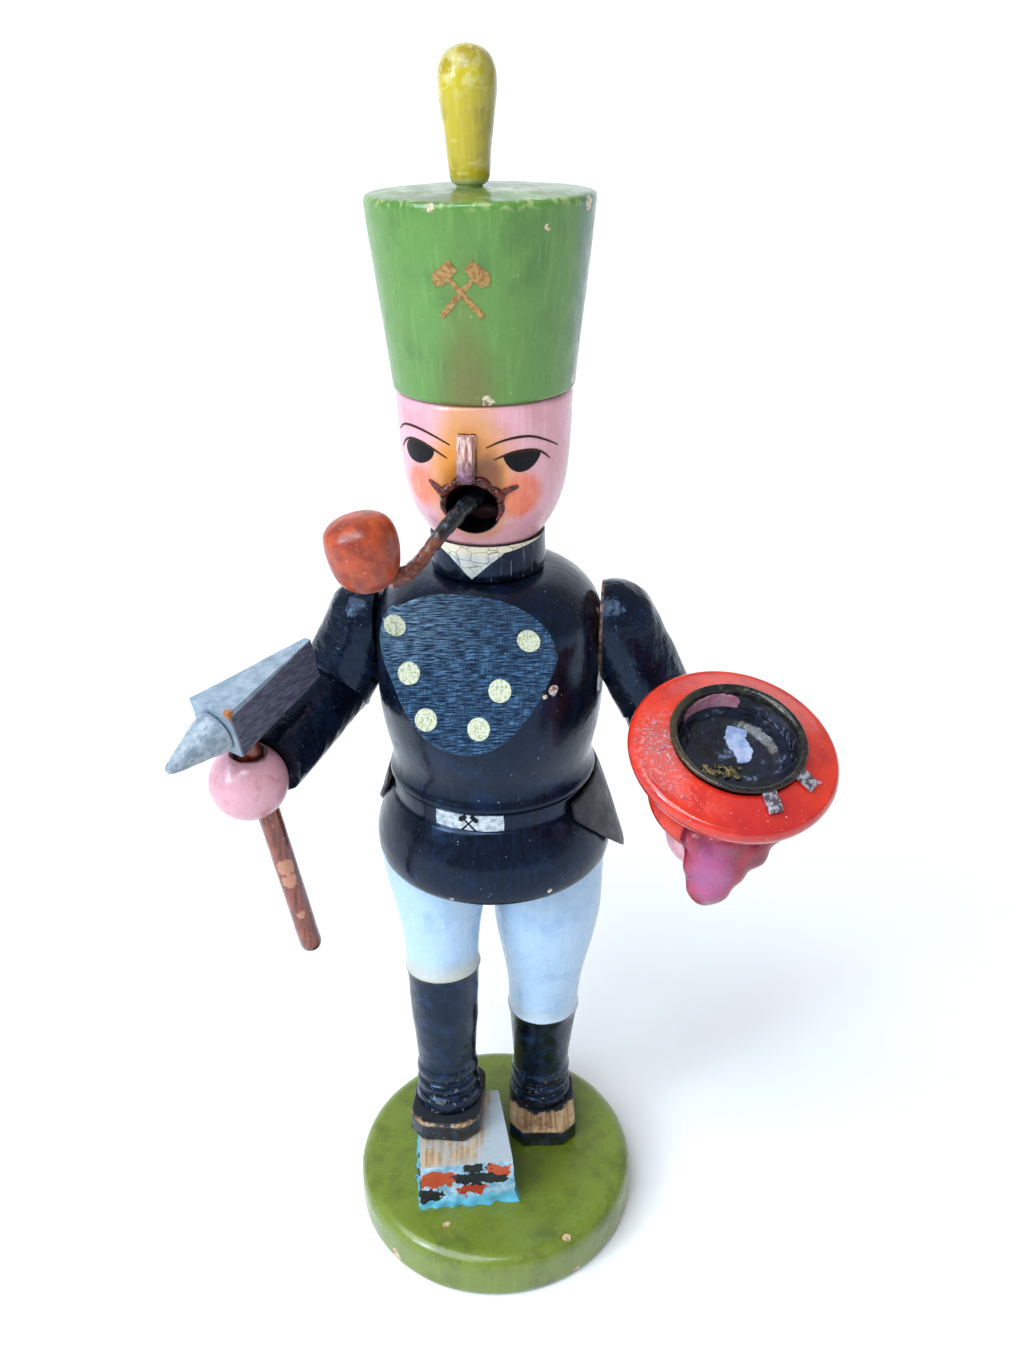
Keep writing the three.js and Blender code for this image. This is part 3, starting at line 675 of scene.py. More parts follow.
def ore_paint():
    """Pale blue brushed on the block with patches of red and black ore; the top is bare wood."""
    s = Shade("ore_blue", Coat_Weight=0.15)
    cloud = s.grain(3.2, 4, rough=0.6)
    s.colour = s.mix((112, 158, 186), (176, 204, 220), s.step(cloud, 0.35, 0.62))
    s.over((88, 170, 196), s.along(UP, 16.8, 14.2, 1.6, 2.0))
    centre = Vector((-8, -18.3, 19.8))
    for spot, stretch, radius, paint in (
        ((-6.6, 0, 1.6), (0.8, 0.2, 1.5), 3.6, (176, 66, 30)),
        ((2.2, 0, -2.6), (0.9, 0.2, 1.7), 2.6, (168, 52, 30)),
        ((9.2, 0, 3.0), (0.8, 0.2, 1.1), 2.4, (186, 74, 44)),
        ((-9.6, 0, -3.6), (0.8, 0.2, 1.9), 2.8, (18, 18, 24)),
        ((2.6, 0, 1.2), (0.75, 0.2, 1.9), 3.4, (14, 20, 34)),
        ((3.4, 0, 4.4), (1.1, 0.2, 1.6), 2.3, (20, 22, 28)),
        ((8.6, 0, 0.4), (1.0, 0.2, 2.2), 2.3, (26, 30, 36)),
    ):
        s.over(paint, s.near(centre + Vector(spot), radius * 1.2, 0.2, 4.4, stretch, 2.2))
    side_spots = s.times(s.patches(0.60, 0.63, 4.6, 4), s.along((0, 1, 0), -15, -13))
    s.over((30, 32, 40), side_spots)
    red_spots = s.times(s.patches(0.63, 0.66, 5.2, 4, (1.3, 1, 1.2)), s.along((0, 1, 0), -15, -13))
    s.over((170, 60, 34), red_spots)
    fibres = s.grain(1.1, 4, (1, 0.07, 1))
    wood = s.mix((196, 172, 138), (150, 120, 88), s.step(fibres, 0.4, 0.66))
    wood = s.mix(wood, (172, 176, 178), s.patches(0.45, 0.6, 5, 4), 0.6)
    wood = s.mix(wood, (168, 180, 188), s.along((0.97, -0.15, 0), -3.5, 0.5, 2.4, 2.4))
    s.over(wood, s.along(UP, BLOCK_TOP - 0.7, BLOCK_TOP - 0.35, 0.25, 1.5))
    return s.done(s.rough(0.35, 0.65), [(cloud, 0.25), (fibres, 0.06), (s.grain(0.8, 4), 0.08)])


def sole_finish(name, top, centre, smear):
    """Bare wood on top, glossy black on the edges, and a black smear round the boot."""
    s = Shade(name, Coat_Weight=0.1)
    fibres = s.grain(1.0, 4, (1, 0.06, 1))
    wood = s.mix((176, 146, 108), (126, 92, 60), s.step(fibres, 0.36, 0.66))
    wood = s.mix(wood, (92, 56, 36), s.patches(0.5, 0.66, 3.5, 4), 0.6)
    wood = s.mix(wood, (190, 186, 178), s.patches(0.58, 0.7, 1.6, 5), 0.5)
    boot = Vector((centre.x, centre.y, top))
    wood = s.mix(wood, (18, 22, 30), s.near(boot, smear, 0.5, 1.8))
    black = s.mix((8, 12, 20), (30, 44, 64), s.patches(0.4, 0.7, 2.4, 4))
    black = s.speckled(black, (150, 140, 124), 0.9, 0.70, 0.6)
    edge = s.along(UP, top - 0.9, top - 0.45, 0.4, 1.6)
    s.colour = s.mix(black, wood, edge)
    rough = s.math("ADD", s.times(edge, 0.35), s.rough(0.2, 0.38))
    return s.done(rough, [(fibres, 0.05), (s.grain(2.2, 3), 0.16), (s.grain(0.7, 3), 0.05)])


def leg_finish(name, boot_top, sole_top, stained):
    """White trousers above a glossy black boot, painted on one turning."""
    s = gloss_paint(
        name, ((158, 188, 216), (176, 202, 226), (196, 216, 234)), 0.2, 0.34, 0.03, 0.1, 0.4, 0.1)
    s.surface.inputs["Specular Tint"].default_value = BLUE_GLOSS
    white = s.mix(s.colour, (196, 184, 150), s.times(s.along(UP, boot_top + 7, boot_top, 2.5), stained))
    white = s.speckled(white, (120, 116, 110), 0.9, 0.72, 0.4)
    black = s.mix((5, 8, 15), (20, 38, 68), s.patches(0.45, 0.75, 3, 4))
    worn = s.times(s.patches(0.62, 0.66, 1.3, 4), s.along(UP, sole_top + 13, sole_top + 9))
    black = s.mix(black, (152, 142, 130), worn, 0.4)
    s.colour = s.mix(black, white, s.along(UP, boot_top - 0.1, boot_top + 0.15, 0.3, 4))
    s.bumps.append((s.grain(2.6, 3), 0.22))
    return s.done()


def coat_paint(name, facet=False):
    """Blue-black enamel with fine upright cracks; on the chest's flat, a hatched steel blue with a painted
    highlight towards its upper left.
    """
    s = gloss_paint(
        name, ((6, 8, 14), (9, 13, 24), (20, 34, 60)), 0.14, 0.3, 0.035, 0.16, 0.5, 0.1)
    s.surface.inputs["Specular IOR Level"].default_value = 0.34
    s.surface.inputs["Specular Tint"].default_value = BLUE_GLOSS
    cracks = s.patches(0.66, 0.72, 0.34, 3, (1, 1, 0.035))
    patch = s.patches(0.42, 0.6, 14, 3)
    s.over((60, 62, 68), s.times(cracks, patch), 0.45)
    cloudy = s.times(s.patches(0.5, 0.72, 7, 4), 0.5)
    s.over((20, 38, 68), cloudy)
    s.specks((170, 176, 180), 0.62, 0.725, 0.7)
    if not facet:
        return s
    scratch = s.times(s.near((23.6, 10.9, 168.9), 9, 4, 3), s.patches(0.52, 0.62, 0.8, 4, (1, 1, 0.3)))
    s.over((70, 68, 62), scratch, 0.5)
    point, normal = facet_plane()
    front = facing(FACET_TURN)
    side = facing(FACET_TURN + 90)
    lower = s.math("SUBTRACT", s.dot(normal), normal.dot(point))
    upper = s.math("SUBTRACT", s.dot(front),
                   front.dot(BODY) + FACET_TOP_D)
    level = s.math("MINIMUM", lower, upper)
    level = s.math("ADD", level, s.times(s.math("SUBTRACT", s.grain(3, 3), 0.5), 0.08))
    middle = side.dot(BODY)
    past = s.times(s.along(side, middle + 14, middle + 18), s.along(UP, 152, 158))
    flat = s.step(s.math("ADD", level, s.times(past, 1.7)), -0.26, -0.12)
    u = s.dot(side)
    v = s.vector("DOT_PRODUCT", s.place, tuple((UP + side * 0.14).normalized()), "Value")
    weave = []
    for fine, coarse in ((u, v), (v, u)):
        join = s.tree.nodes.new("ShaderNodeCombineXYZ")
        s.put(join.inputs[0], s.times(fine, 3.6))
        s.put(join.inputs[1], s.times(coarse, 0.3))
        saw = s.tree.nodes.new("ShaderNodeTexNoise")
        saw.inputs["Scale"].default_value = 1.0
        saw.inputs["Detail"].default_value = 4.0
        saw.inputs["Roughness"].default_value = 0.65
        s.put(saw.inputs["Vector"], join.outputs[0])
        weave.append(saw.outputs["Fac"])
    across_cut = s.step(weave[1], 0.42, 0.6)
    up_cut = s.step(weave[0], 0.42, 0.6)
    steel = s.mix((10, 20, 38), (82, 122, 160), across_cut)
    steel = s.mix(steel, (18, 34, 62), up_cut, 0.55)
    # Painted highlight: the hatch is paler towards the flat's upper left, where the light falls.
    painted_facet_highlight = s.times(s.along(side, -4, 16, 3, 6), s.along(UP, 150, 168, 3, 6))
    steel = s.mix(steel, (140, 176, 204), s.times(s.times(painted_facet_highlight, 0.75), across_cut))
    s.over(steel, flat)
    s.rougher(s.times(flat, 0.16))
    s.bumps.append((s.times(across_cut, flat), 0.14))
    s.bumps.append((s.times(up_cut, flat), 0.09))
    return s


def torso_finish():
    s = coat_paint("coat_torso", True)
    s.chips(TORSO_CHIPS, (222, 214, 210))
    chamber = s.times(s.from_axis(16.9, 16.6), s.along(UP, 156.4, 156))
    cone = s.times(s.from_axis(14.6, 14.3), s.along(UP, 166.4, 166))
    bore = s.times(s.from_axis(18.4, 18.1), s.along(UP, 132.4, 132))
    inside = s.most(chamber, cone, bore, s.from_axis(5, 4.7))
    burnt = s.mix((70, 48, 30), SOOT, s.patches(0.35, 0.6, 5, 4))
    s.over(burnt, inside)
    s.rougher(s.times(inside, 0.5))
    return s.done()


TORSO_CHIPS = [(14.7, -7.1, 153.8, 1.2), (12.9, -8.1, 152.7, 0.6), (25.2, 8.5, 165.2, 0.9),
               (24, 2.5, 139, 0.5)]
HIP_CHIPS = [(-22.5, 2.4, 104.4, 0.5), (-8.5, -11.3, 103.0, 0.6), (14, -10.2, 104.0, 0.6),
             (24.5, -2.0, 103, 0.5)]


def hips_finish():
    s = coat_paint("coat_hips")
    s.chips(HIP_CHIPS, (220, 222, 222))
    bare = s.times(s.along(UP, BELT_TOP - 0.1, BELT_TOP + 0.4), s.from_axis(23.6, 22.8))
    fibres = s.grain(1.2, 4, (1, 0.1, 1))
    wood = s.mix((190, 156, 112), (122, 84, 52), s.step(fibres, 0.38, 0.66))
    wood = s.mix(wood, (40, 26, 18), s.patches(0.45, 0.62, 6, 4), 0.8)
    s.over(wood, bare)
    s.rougher(s.times(bare, 0.4))
    return s.done()


def arm_finish(name, glue, worn):
    """Lumpy gloss black. `glue` is the plane of the sawn face against the body, bare where worn is 1."""
    s = coat_paint(name)
    point, normal = glue
    edge = normal.dot(point)
    bare = s.times(s.along(normal, edge - 0.9, edge - 0.3, 0.6, 1.6), worn)
    wood = s.mix((150, 112, 84), (52, 44, 44), s.patches(0.4, 0.62, 1.6, 4))
    s.over(wood, bare)
    s.rougher(s.times(bare, 0.35))
    s.bumps.append((s.grain(3.2, 2), 0.55))
    return s.done()


def leather_finish():
    s = Shade("back_leather", Coat_Weight=0.1)
    cells = s.cells(0.9)
    cloud = s.grain(5, 4)
    s.colour = s.mix((10, 13, 20), (24, 30, 42), s.step(cloud, 0.35, 0.65))
    s.over((58, 58, 60), s.patches(0.58, 0.7, 1.4, 4), 0.5)
    s.over((98, 96, 94), s.along(UP, 106.5, 103.2, 1.8, 2), 0.35)
    return s.done(s.rough(0.35, 0.6), [(s.step(cells, 0.0, 0.12), 0.09), (cloud, 0.25),
                                       (s.grain(0.5, 3), 0.04)])


def silver_paint():
    s = Shade("buckle_silver", Metallic=0.25)
    cloud = s.grain(1.4, 4)
    s.colour = s.mix((140, 152, 162), (196, 206, 214), s.step(cloud, 0.35, 0.62))
    s.over((74, 78, 82), s.patches(0.62, 0.7, 0.6, 3), 0.6)
    return s.done(s.rough(0.3, 0.5, 1.5), [(cloud, 0.05), (s.grain(0.4, 3), 0.02)])


def black_line_paint(name="line_black", brown=0.0):
    """The thin brush paint of eyes, brows and crossed hammers."""
    s = Shade(name, Specular_IOR_Level=0.15)
    cloud = s.grain(1.2, 4, FIBRE)
    dark = (7 + 110 * brown, 7 + 30 * brown, 10)
    s.colour = s.mix(dark, (20 + 120 * brown, 18 + 40 * brown, 22), cloud)
    return s.done(s.rough(0.25, 0.45, 1.5), [(cloud, 0.04), (s.grain(0.5, 3), 0.02)])


def dot_paint():
    """Pale gold dots with a green-grey speckle."""
    s = Shade("dot_gold", Metallic=0.1)
    fine = s.grain(0.45, 4)
    s.colour = s.mix((150, 152, 116), (198, 202, 176), s.step(fine, 0.36, 0.52))
    lines = s.grain(0.5, 3, (1, 1, 0.2))
    s.over((128, 132, 104), s.step(lines, 0.56, 0.66), 0.7)
    return s.done(s.rough(0.35, 0.6, 1), [(fine, 0.09), (lines, 0.05)])


def emblem_paint():
    s = Shade("emblem_gold", Metallic=0.1)
    fine = s.grain(0.7, 4)
    s.colour = s.mix((138, 98, 46), (170, 132, 74), s.step(fine, 0.38, 0.58))
    s.over((118, 76, 34), s.patches(0.55, 0.7, 1.6, 4), 0.6)
    return s.done(s.rough(0.3, 0.5, 1), [(fine, 0.06), (s.grain(0.3, 2), 0.02)])


def collar_finish():
    s = coat_paint("collar_black")
    cracks = s.patches(0.63, 0.67, 0.4, 3, (1, 1, 0.03))
    side = s.along((1, 0, 0), -2, 5, 2)
    s.over((176, 172, 164), s.times(cracks, side), 0.45)
    return s.done()


def shirt_paint():
    s = Shade("shirt_white", Coat_Weight=0.15)
    brush = s.grain(1.0, 4, (1, 1, 0.12))
    s.colour = s.mix((178, 188, 190), (208, 212, 206), s.step(brush, 0.4, 0.6))
    s.over((224, 216, 190), s.along(UP, 180, 181, 0.8, 1.6))
    crack = s.step(s.cells(3.4, (1, 1, 1.6)), 0.02, 0.008)
    s.over((96, 84, 70), crack, 0.8)
    return s.done(s.rough(0.3, 0.5), [(brush, 0.06), (s.less(crack), 0.06)])


def skin_finish():
    """Pink enamel with crackled grain, red cheeks, and smoke stains round the mouth."""
    s = gloss_paint(
        "skin_head", ((212, 146, 156), (226, 166, 178), (238, 190, 198)), 0.24, 0.42, 0.06, 0.08, 0.5, 0.3)
    craze = s.patches(0.60, 0.68, 0.42, 3, (1, 1, 0.05))
    s.over((176, 120, 112), craze, 0.3)
    face = on_turning(HEAD)
    band = s.near(face(3.4, 206, 0), 5.4, 3.8, 1.2, (1, 1, 0.42), 4)
    s.over((204, 142, 70), band, 0.8)
    around = s.near(face(3.1, 197.5, 0), 9.4, 4.2, 1.6, (1, 1, 0.82), 4)
    s.over((216, 140, 58), around)
    for at, size in (((15.2, 195.6), 4.3), ((-7.6, 194.3), 4.6)):
        cheek = s.near(face(at[0], at[1], 0), size, 1.5, 0.5, (1, 1, 1), 5)
        rosy = s.mix((232, 106, 66), (238, 132, 92), s.patches(0.42, 0.62, 0.6, 3, FIBRE))
        s.over(rosy, cheek, 0.85)
    beside = s.near(face(-0.4, 199.4, 0), 2.8, 1.6, 1.0, (1, 1, 0.7), 2.4)
    s.over((104, 46, 18), beside, 0.85)
    smoke = s.near(face(3.1, 195.6, 0), 6.2, 2.0, 1.0, (1, 1, 1), 2.4)
    s.over((140, 78, 32), smoke, 0.75)
    chin = s.near(face(1.8, 189.4, 0), 5.4, 1.6, 0.6, (1, 1, 1), 2.4)
    s.over((196, 128, 76), chin, 0.55)
    edge = s.near(face(MOUTH_S, MOUTH_Z, 0), MOUTH_R + 0.6, 0.35, 0.5, (1, 1, 1), 1.6)
    s.over(s.mix((60, 26, 14), (206, 140, 116), s.patches(0.5, 0.6, 1.4, 3)), edge)
    behind = s.along((0.19, 0.98, 0), 17.5, 18.5, 0.6, 2.4)
    hair_low = s.along(UP, 199.5, 200.4, 1.2, 2.0)
    strands = s.grain(0.8, 4, (1, 1, 0.08))
    hair = s.mix((34, 20, 14), (66, 40, 26), s.step(strands, 0.42, 0.62))
    s.over(hair, s.times(behind, hair_low))
    flue = s.times(s.from_axis(11.4, 10.6), s.along(UP, 184.6, 186.2))
    front = facing(FACE_TURN)
    offset = s.vector("SUBTRACT", s.place, tuple(BODY + UP * MOUTH_Z))
    offset = s.vector("CROSS_PRODUCT", offset, tuple(front))
    bore = s.step(s.vector("LENGTH", offset, (0, 0, 0), "Value"), MOUTH_R + 0.3, MOUTH_R + 0.12)
    bore = s.times(bore, s.along(front, front.dot(BODY) + 7, front.dot(BODY) + 8))
    s.over(SOOT, s.most(flue, bore))
    return s.done()


def hand_finish(name, centre):
    s = gloss_paint(
        name, ((200, 136, 146), (216, 158, 170), (230, 182, 192)), 0.22, 0.4, 0.03, 0.1, 0.4, 0.3)
    dirt = s.times(s.patches(0.55, 0.7, 3, 5), 0.4)
    s.over((178, 112, 104), dirt)
    hole = s.near(centre + HAMMER_UP * 7.6, 3.9, 0.5, 0.5, (1, 1, 1), 1.6)
    s.over((52, 26, 22), s.times(hole, 1.0 if centre == RIGHT_HAND else 0.0))
    return s.done()


def nose_finish():
    """Mottled white and pink at the top, dark violet-brown and glossy lower down."""
    s = Shade("nose_wood", Coat_Weight=0.6, Coat_Roughness=0.1)
    fibres = s.grain(0.6, 4, (1, 1, 0.14))
    light = s.mix((226, 190, 182), (150, 92, 84), s.step(fibres, 0.4, 0.6))
    dark = s.mix((96, 52, 62), (148, 108, 140), s.patches(0.45, 0.65, 1.1, 4))
    s.colour = s.mix(dark, light, s.along(UP, 199.8, 205.2, 1.4, 1.6))
    s.over((60, 22, 26), s.along(UP, 200.6, 198.6, 0.8, 1.6))
    return s.done(s.rough(0.12, 0.35, 1.2), [(fibres, 0.3), (s.grain(0.9, 3), 0.25)])


def tar_finish():
    """Sticky brown-red smoke tar and moustache paint."""
    s = Shade("moustache_tar", Coat_Weight=0.2, Coat_Roughness=0.08, Specular_IOR_Level=0.4)
    cloud = s.grain(1.3, 4)
    s.colour = s.mix((46, 10, 10), (112, 30, 16), s.step(cloud, 0.38, 0.64))
    return s.done(s.rough(0.1, 0.3, 1.2), [(cloud, 0.35), (s.grain(0.5, 3), 0.06)])


def hat_finish():
    s = gloss_paint(
        "hat_green", ((72, 118, 46), (88, 136, 54), (112, 156, 78)), 0.22, 0.4, 0.03, 0.06, 0.5, 0.3)
    # Painted shade: the right side, turned away from the light, is tinted a dark teal.
    painted_shade_right = s.along((0.96, 0.28, 0), 17.5, 22.5, 1.2, 4)
    s.over((52, 96, 86), painted_shade_right, 0.75)
    side = on_turning(HAT)
    stain = s.near(side(3.2, 219, 0), 3.4, 2.6, 1.2, (1, 1, 0.17), 3)
    s.over((110, 96, 30), stain, 0.4)
    lower = s.near(side(3.0, 213, 0), 6, 4, 1.5, (1, 1, 0.5), 3)
    s.over((104, 82, 30), lower, 0.5)
    s.specks((176, 196, 130), 0.8, 0.71, 0.5)
    worn = s.times(s.along(UP, 248.2, 249.6, 0.6, 1.2), s.patches(0.5, 0.6, 1.6, 4))
    s.over((166, 180, 116), worn, 0.7)
    top = s.along(UP, 249.9, 250.2)
    s.over((96, 116, 62), s.times(top, s.patches(0.35, 0.6, 8, 4)))
    chips = [(*side(-0.6, 214.1, 0), 1.3), (*side(-23.5, 215.5, 0), 1.2), (*side(-25.4, 248.6, 0), 1.4),
             (*side(-12.9, 245.4, 0), 0.7), (*side(9, 249.3, 0), 0.8), (*side(30, 214, 0), 1.2),
             (*side(55, 232, 0), 0.9)]
    s.chips(chips, (208, 200, 160))
    return s.done()


def plume_finish():
    s = gloss_paint(
        "plume_yellow", ((150, 130, 18), (190, 170, 24), (212, 196, 56)), 0.16, 0.34, 0.04, 0.3, 0.4, 0.4)
    streak = s.patches(0.56, 0.66, 2.4, 3, (0.5, 1, 1.6), 0.5, 0.6)
    s.over((232, 226, 150), streak, 0.3)
    worn = s.times(s.along(UP, 264.5, 269, 2.5, 3), s.patches(0.47, 0.56, 2.2, 4))
    s.over((216, 212, 160), worn, 0.35)
    # Painted shade: the right side, away from the light, is darker olive.
    painted_shade_side = s.times(s.along((1, 0, 0), 0.5, 4.2, 1.2, 4), 0.55)
    s.over((126, 120, 26), painted_shade_side)
    foot = s.along(UP, 253.2, 251.8, 0.8, 1.6)
    s.over((190, 196, 140), foot, 0.8)
    return s.done()


def pipe_finish():
    s = Shade("pipe_brown", Coat_Weight=0.15, Coat_Roughness=0.15)
    cloud = s.grain(3.4, 5)
    s.colour = s.mix((134, 44, 18), (178, 70, 30), s.step(cloud, 0.34, 0.66))
    s.over((204, 116, 80), s.patches(0.6, 0.72, 1.1, 4), 0.3)
    s.specks((222, 168, 130), 0.6, 0.70, 0.5)
    return s.done(s.rough(0.28, 0.42, 2), [(cloud, 0.2), (s.grain(0.9, 4), 0.05), (s.grain(0.4, 2), 0.02)])


def stem_finish():
    """Red-brown twig that turns black towards the mouth."""
    s = Shade("pipe_stem_paint", Coat_Weight=0.4, Coat_Roughness=0.15)
    along = (Vector((0.2, 3.2, 194.1)) - Vector((-17.2, -15, 182.9))).normalized()
    start = along.dot(Vector((-17.2, -15, 182.9)))
    fibres = s.grain(0.9, 4, (0.6, 0.6, 1.2))
    brown = s.mix((84, 34, 22), (140, 66, 44), s.step(fibres, 0.38, 0.64))
    black = s.mix((8, 10, 14), (44, 60, 78), s.patches(0.52, 0.72, 1.0, 4))
    s.colour = s.mix(brown, black, s.along(along, start + 9.5, start + 14.5, 2.6, 2))
    return s.done(s.rough(0.22, 0.45, 1.5), [(fibres, 0.3), (s.grain(1.4, 3), 0.3)])


def hammer_finish():
    """Thin grey-blue paint over coarse wood; the sides are dark and show their grain, and are painted darker
    still as shade, since they turn from the light.
    """
    s = Shade("hammer_grey", Metallic=0.1)
    grain = s.grain(0.7, 4, (0.25, 0.25, 1.4))
    s.colour = s.mix((128, 146, 162), (160, 176, 190), s.patches(0.35, 0.65, 3, 4))
    u = s.dot(HAMMER_UP)
    top = HAMMER_UP.dot(RIGHT_HAND) + HEAD_ABOVE + 9.9
    sides = s.step(u, top - 0.05, top - 0.5)
    ahead = HAMMER_FRONT.dot(RIGHT_HAND)
    front = s.along(HAMMER_FRONT, ahead + 4.9, ahead + 5.4)
    # Painted shade, in part: the sides are darker wood, and are painted darker still because they face away
    # from the light.
    dark = s.mix((72, 74, 92), (104, 106, 124), s.step(grain, 0.4, 0.6))
    s.over(dark, s.times(sides, s.less(front)))
    corner = RIGHT_HAND + HAMMER_FRONT * 5.5 + HAMMER_SIDE * -5.2 + HAMMER_UP * (HEAD_ABOVE + 10.6)
    edge = s.near(corner, 1.3, 0.3, 1.0, (1, 1, 1), 1.2)
    s.over((176, 112, 66), edge)
    from_ridge = s.math("ABSOLUTE", s.math("SUBTRACT", u, top + 0.4))
    ridge = s.times(s.step(from_ridge, 0.5, 0.1), s.patches(0.62, 0.68, 1.1, 4))
    s.over((206, 196, 180), ridge, 0.8)
    return s.done(s.rough(0.35, 0.6, 3), [(grain, 0.22), (s.grain(2.6, 4), 0.25), (s.grain(0.5, 3), 0.05)])


def point_finish():
    s = Shade("hammer_point_grey", Coat_Weight=0.2)
    cloud = s.grain(2.0, 4)
    s.colour = s.mix((122, 138, 152), (166, 178, 188), s.step(cloud, 0.35, 0.62))
    rings = s.grain(0.6, 3, (1, 1, 1), 0.5, 1.5)
    s.over((96, 104, 116), s.step(rings, 0.55, 0.66), 0.6)
    return s.done(s.rough(0.3, 0.5, 2), [(cloud, 0.3), (rings, 0.12)])


def handle_finish():
    s = Shade("handle_brown", Coat_Weight=0.5, Coat_Roughness=0.15)
    fibres = s.grain(0.8, 4, (1, 1, 0.09))
    s.colour = s.mix((96, 34, 20), (150, 66, 42), s.step(fibres, 0.36, 0.66))
    axis_low = HAMMER_UP.dot(RIGHT_HAND) + HANDLE_LOW
    for height, radius in ((28, 1.9), (24, 1.6), (13, 0.9)):
        ring = s.times(s.near(RIGHT_HAND + HAMMER_UP * (height + HANDLE_LOW) + Vector((0.6, -2.4, 0)),
                              radius, 0.2, 1.2,
                              (1, 1, 0.8), 1.2), 0.75)
        s.over((206, 142, 110), ring)
    s.over((58, 20, 14), s.along(HAMMER_UP, axis_low + 3, axis_low + 0.6, 0.8, 1.6))
    s.specks((214, 160, 130), 0.9, 0.69, 0.7)
    return s.done(s.rough(0.16, 0.36, 2), [(fibres, 0.12), (s.grain(2.4, 3), 0.25)])


def dish_finish():
    """Bright orange-red gloss with a waxy haze, pink drips and pale specks."""
    s = Shade("dish_red", Coat_Weight=0.5, Coat_Roughness=0.1)
    cloud = s.grain(6, 4)
    s.colour = s.mix((186, 28, 14), (214, 48, 20), s.step(cloud, 0.32, 0.6))
    haze_at = DISH_CENTRE - Vector((15.5, 1.5, 0)) + DISH_UP * 1.5
    haze = s.near(haze_at, 4.2, 3.6, 2.4, (1, 0.5, 1), 3)
    crumbs = s.patches(0.45, 0.62, 0.8, 4)
    s.over((200, 92, 84), haze, 0.6)
    s.over((206, 170, 176), s.times(haze, crumbs), 0.55)
    front = s.near(DISH_CENTRE + Vector((4, -17, -8)), 9, 6, 3, (0.8, 1, 0.8), 4)
    s.over((168, 22, 36), front, 0.55)
    s.specks((226, 168, 162), 0.55, 0.705, 0.8)
    height = s.dot(DISH_UP)
    inside = s.near(DISH_CENTRE - DISH_UP * 4, 13.3, 0.5, 0.4, (1, 1, 1), 2)
    s.over((90, 20, 14), inside)
    shadow = s.step(height, DISH_UP.dot(DISH_CENTRE) - 16.4, DISH_UP.dot(DISH_CENTRE) - 18.4)
    s.over((110, 26, 24), shadow, 0.7)
    bumps = [(cloud, 0.18), (s.times(haze, crumbs), 0.22), (s.grain(2.2, 3), 0.08)]
    rough = s.math("ADD", s.rough(0.14, 0.28), s.times(haze, 0.25))
    return s.done(rough, bumps)


def cup_finish():
    """Dark tarnished brass with a painted highlight on the left of the rim, sooty and wet with old wax
    inside.
    """
    s = Shade("cup_metal", Metallic=0.55, Coat_Weight=0.5, Coat_Roughness=0.08)
    cloud = s.grain(2.4, 5)
    s.colour = s.mix((24, 24, 26), (58, 54, 44), s.step(cloud, 0.42, 0.68))
    rim = s.along(DISH_UP, DISH_UP.dot(DISH_CENTRE) + 2.2, DISH_UP.dot(DISH_CENTRE) + 3.4)
    # Painted highlight: the rim is brighter brass on its left, the side that faces the light.
    gold = s.times(rim, s.along((-1, 0, 0), -46, -39, 2, 3))
    s.over((96, 84, 54), gold, 0.5)
    inside = s.near(DISH_CENTRE - DISH_UP * 0.6, 12.0, 0.5, 0.3)
    wet = s.mix((8, 10, 18), (30, 40, 66), s.patches(0.45, 0.65, 3.6, 4))
    s.over(wet, inside)
    where = s.most(s.patches(0.5, 0.62, 5.2, 3), s.along((1, 0, 0), 54, 60, 2, 3))
    bloom = s.times(s.patches(0.5, 0.62, 1.2, 5), where)
    s.over((146, 160, 198), s.times(bloom, inside), 0.8)
    return s.done(s.rough(0.12, 0.4, 2), [(cloud, 0.3), (bloom, 0.25), (s.grain(0.8, 3), 0.12)])


def wax_finish(name, colours, bloom_colour, bloom_least=0.5, painted_wax_highlight_at=None):
    s = Shade(name, Coat_Weight=0.3, Coat_Roughness=0.2, Subsurface_Weight=0.25, Subsurface_Scale=0.002)
    s.surface.inputs["Subsurface Radius"].default_value = (1.0, 0.3, 0.35)
    cloud = s.grain(3, 4)
    s.colour = s.mix(colours[0], colours[1], s.step(cloud, 0.35, 0.65))
    bloom = s.step(s.grain(3.4, 5, rough=0.65), bloom_least, bloom_least + 0.16)
    s.over(bloom_colour, bloom, 0.6)
    if painted_wax_highlight_at:
        # Painted highlight: a pale lavender spot where a lobe of the wax run catches the light.
        pale = s.near(Vector(painted_wax_highlight_at), 4.2, 2.6, 1.2, (1, 1, 0.62), 3)
        s.over((176, 96, 150), pale, 0.7)
    return s.done(s.rough(0.2, 0.42, 2), [(cloud, 0.3), (s.grain(1.0, 4), 0.12), (s.grain(0.4, 2), 0.02)])


def crumb_finish():
    s = Shade("crumb_yellow", Coat_Weight=0.3)
    cloud = s.grain(0.8, 4)
    s.colour = s.mix((52, 44, 24), (150, 130, 78), s.step(cloud, 0.42, 0.6))
    return s.done(s.rough(0.3, 0.6, 1), [(cloud, 0.3), (s.grain(0.4, 3), 0.1)])


def tab_finish():
    s = Shade("tab_metal", Metallic=0.5)
    cloud = s.grain(1.0, 4)
    s.colour = s.mix((90, 84, 92), (186, 180, 190), s.step(cloud, 0.4, 0.6))
    return s.done(s.rough(0.3, 0.6, 1), [(cloud, 0.25), (s.grain(0.4, 3), 0.06)])


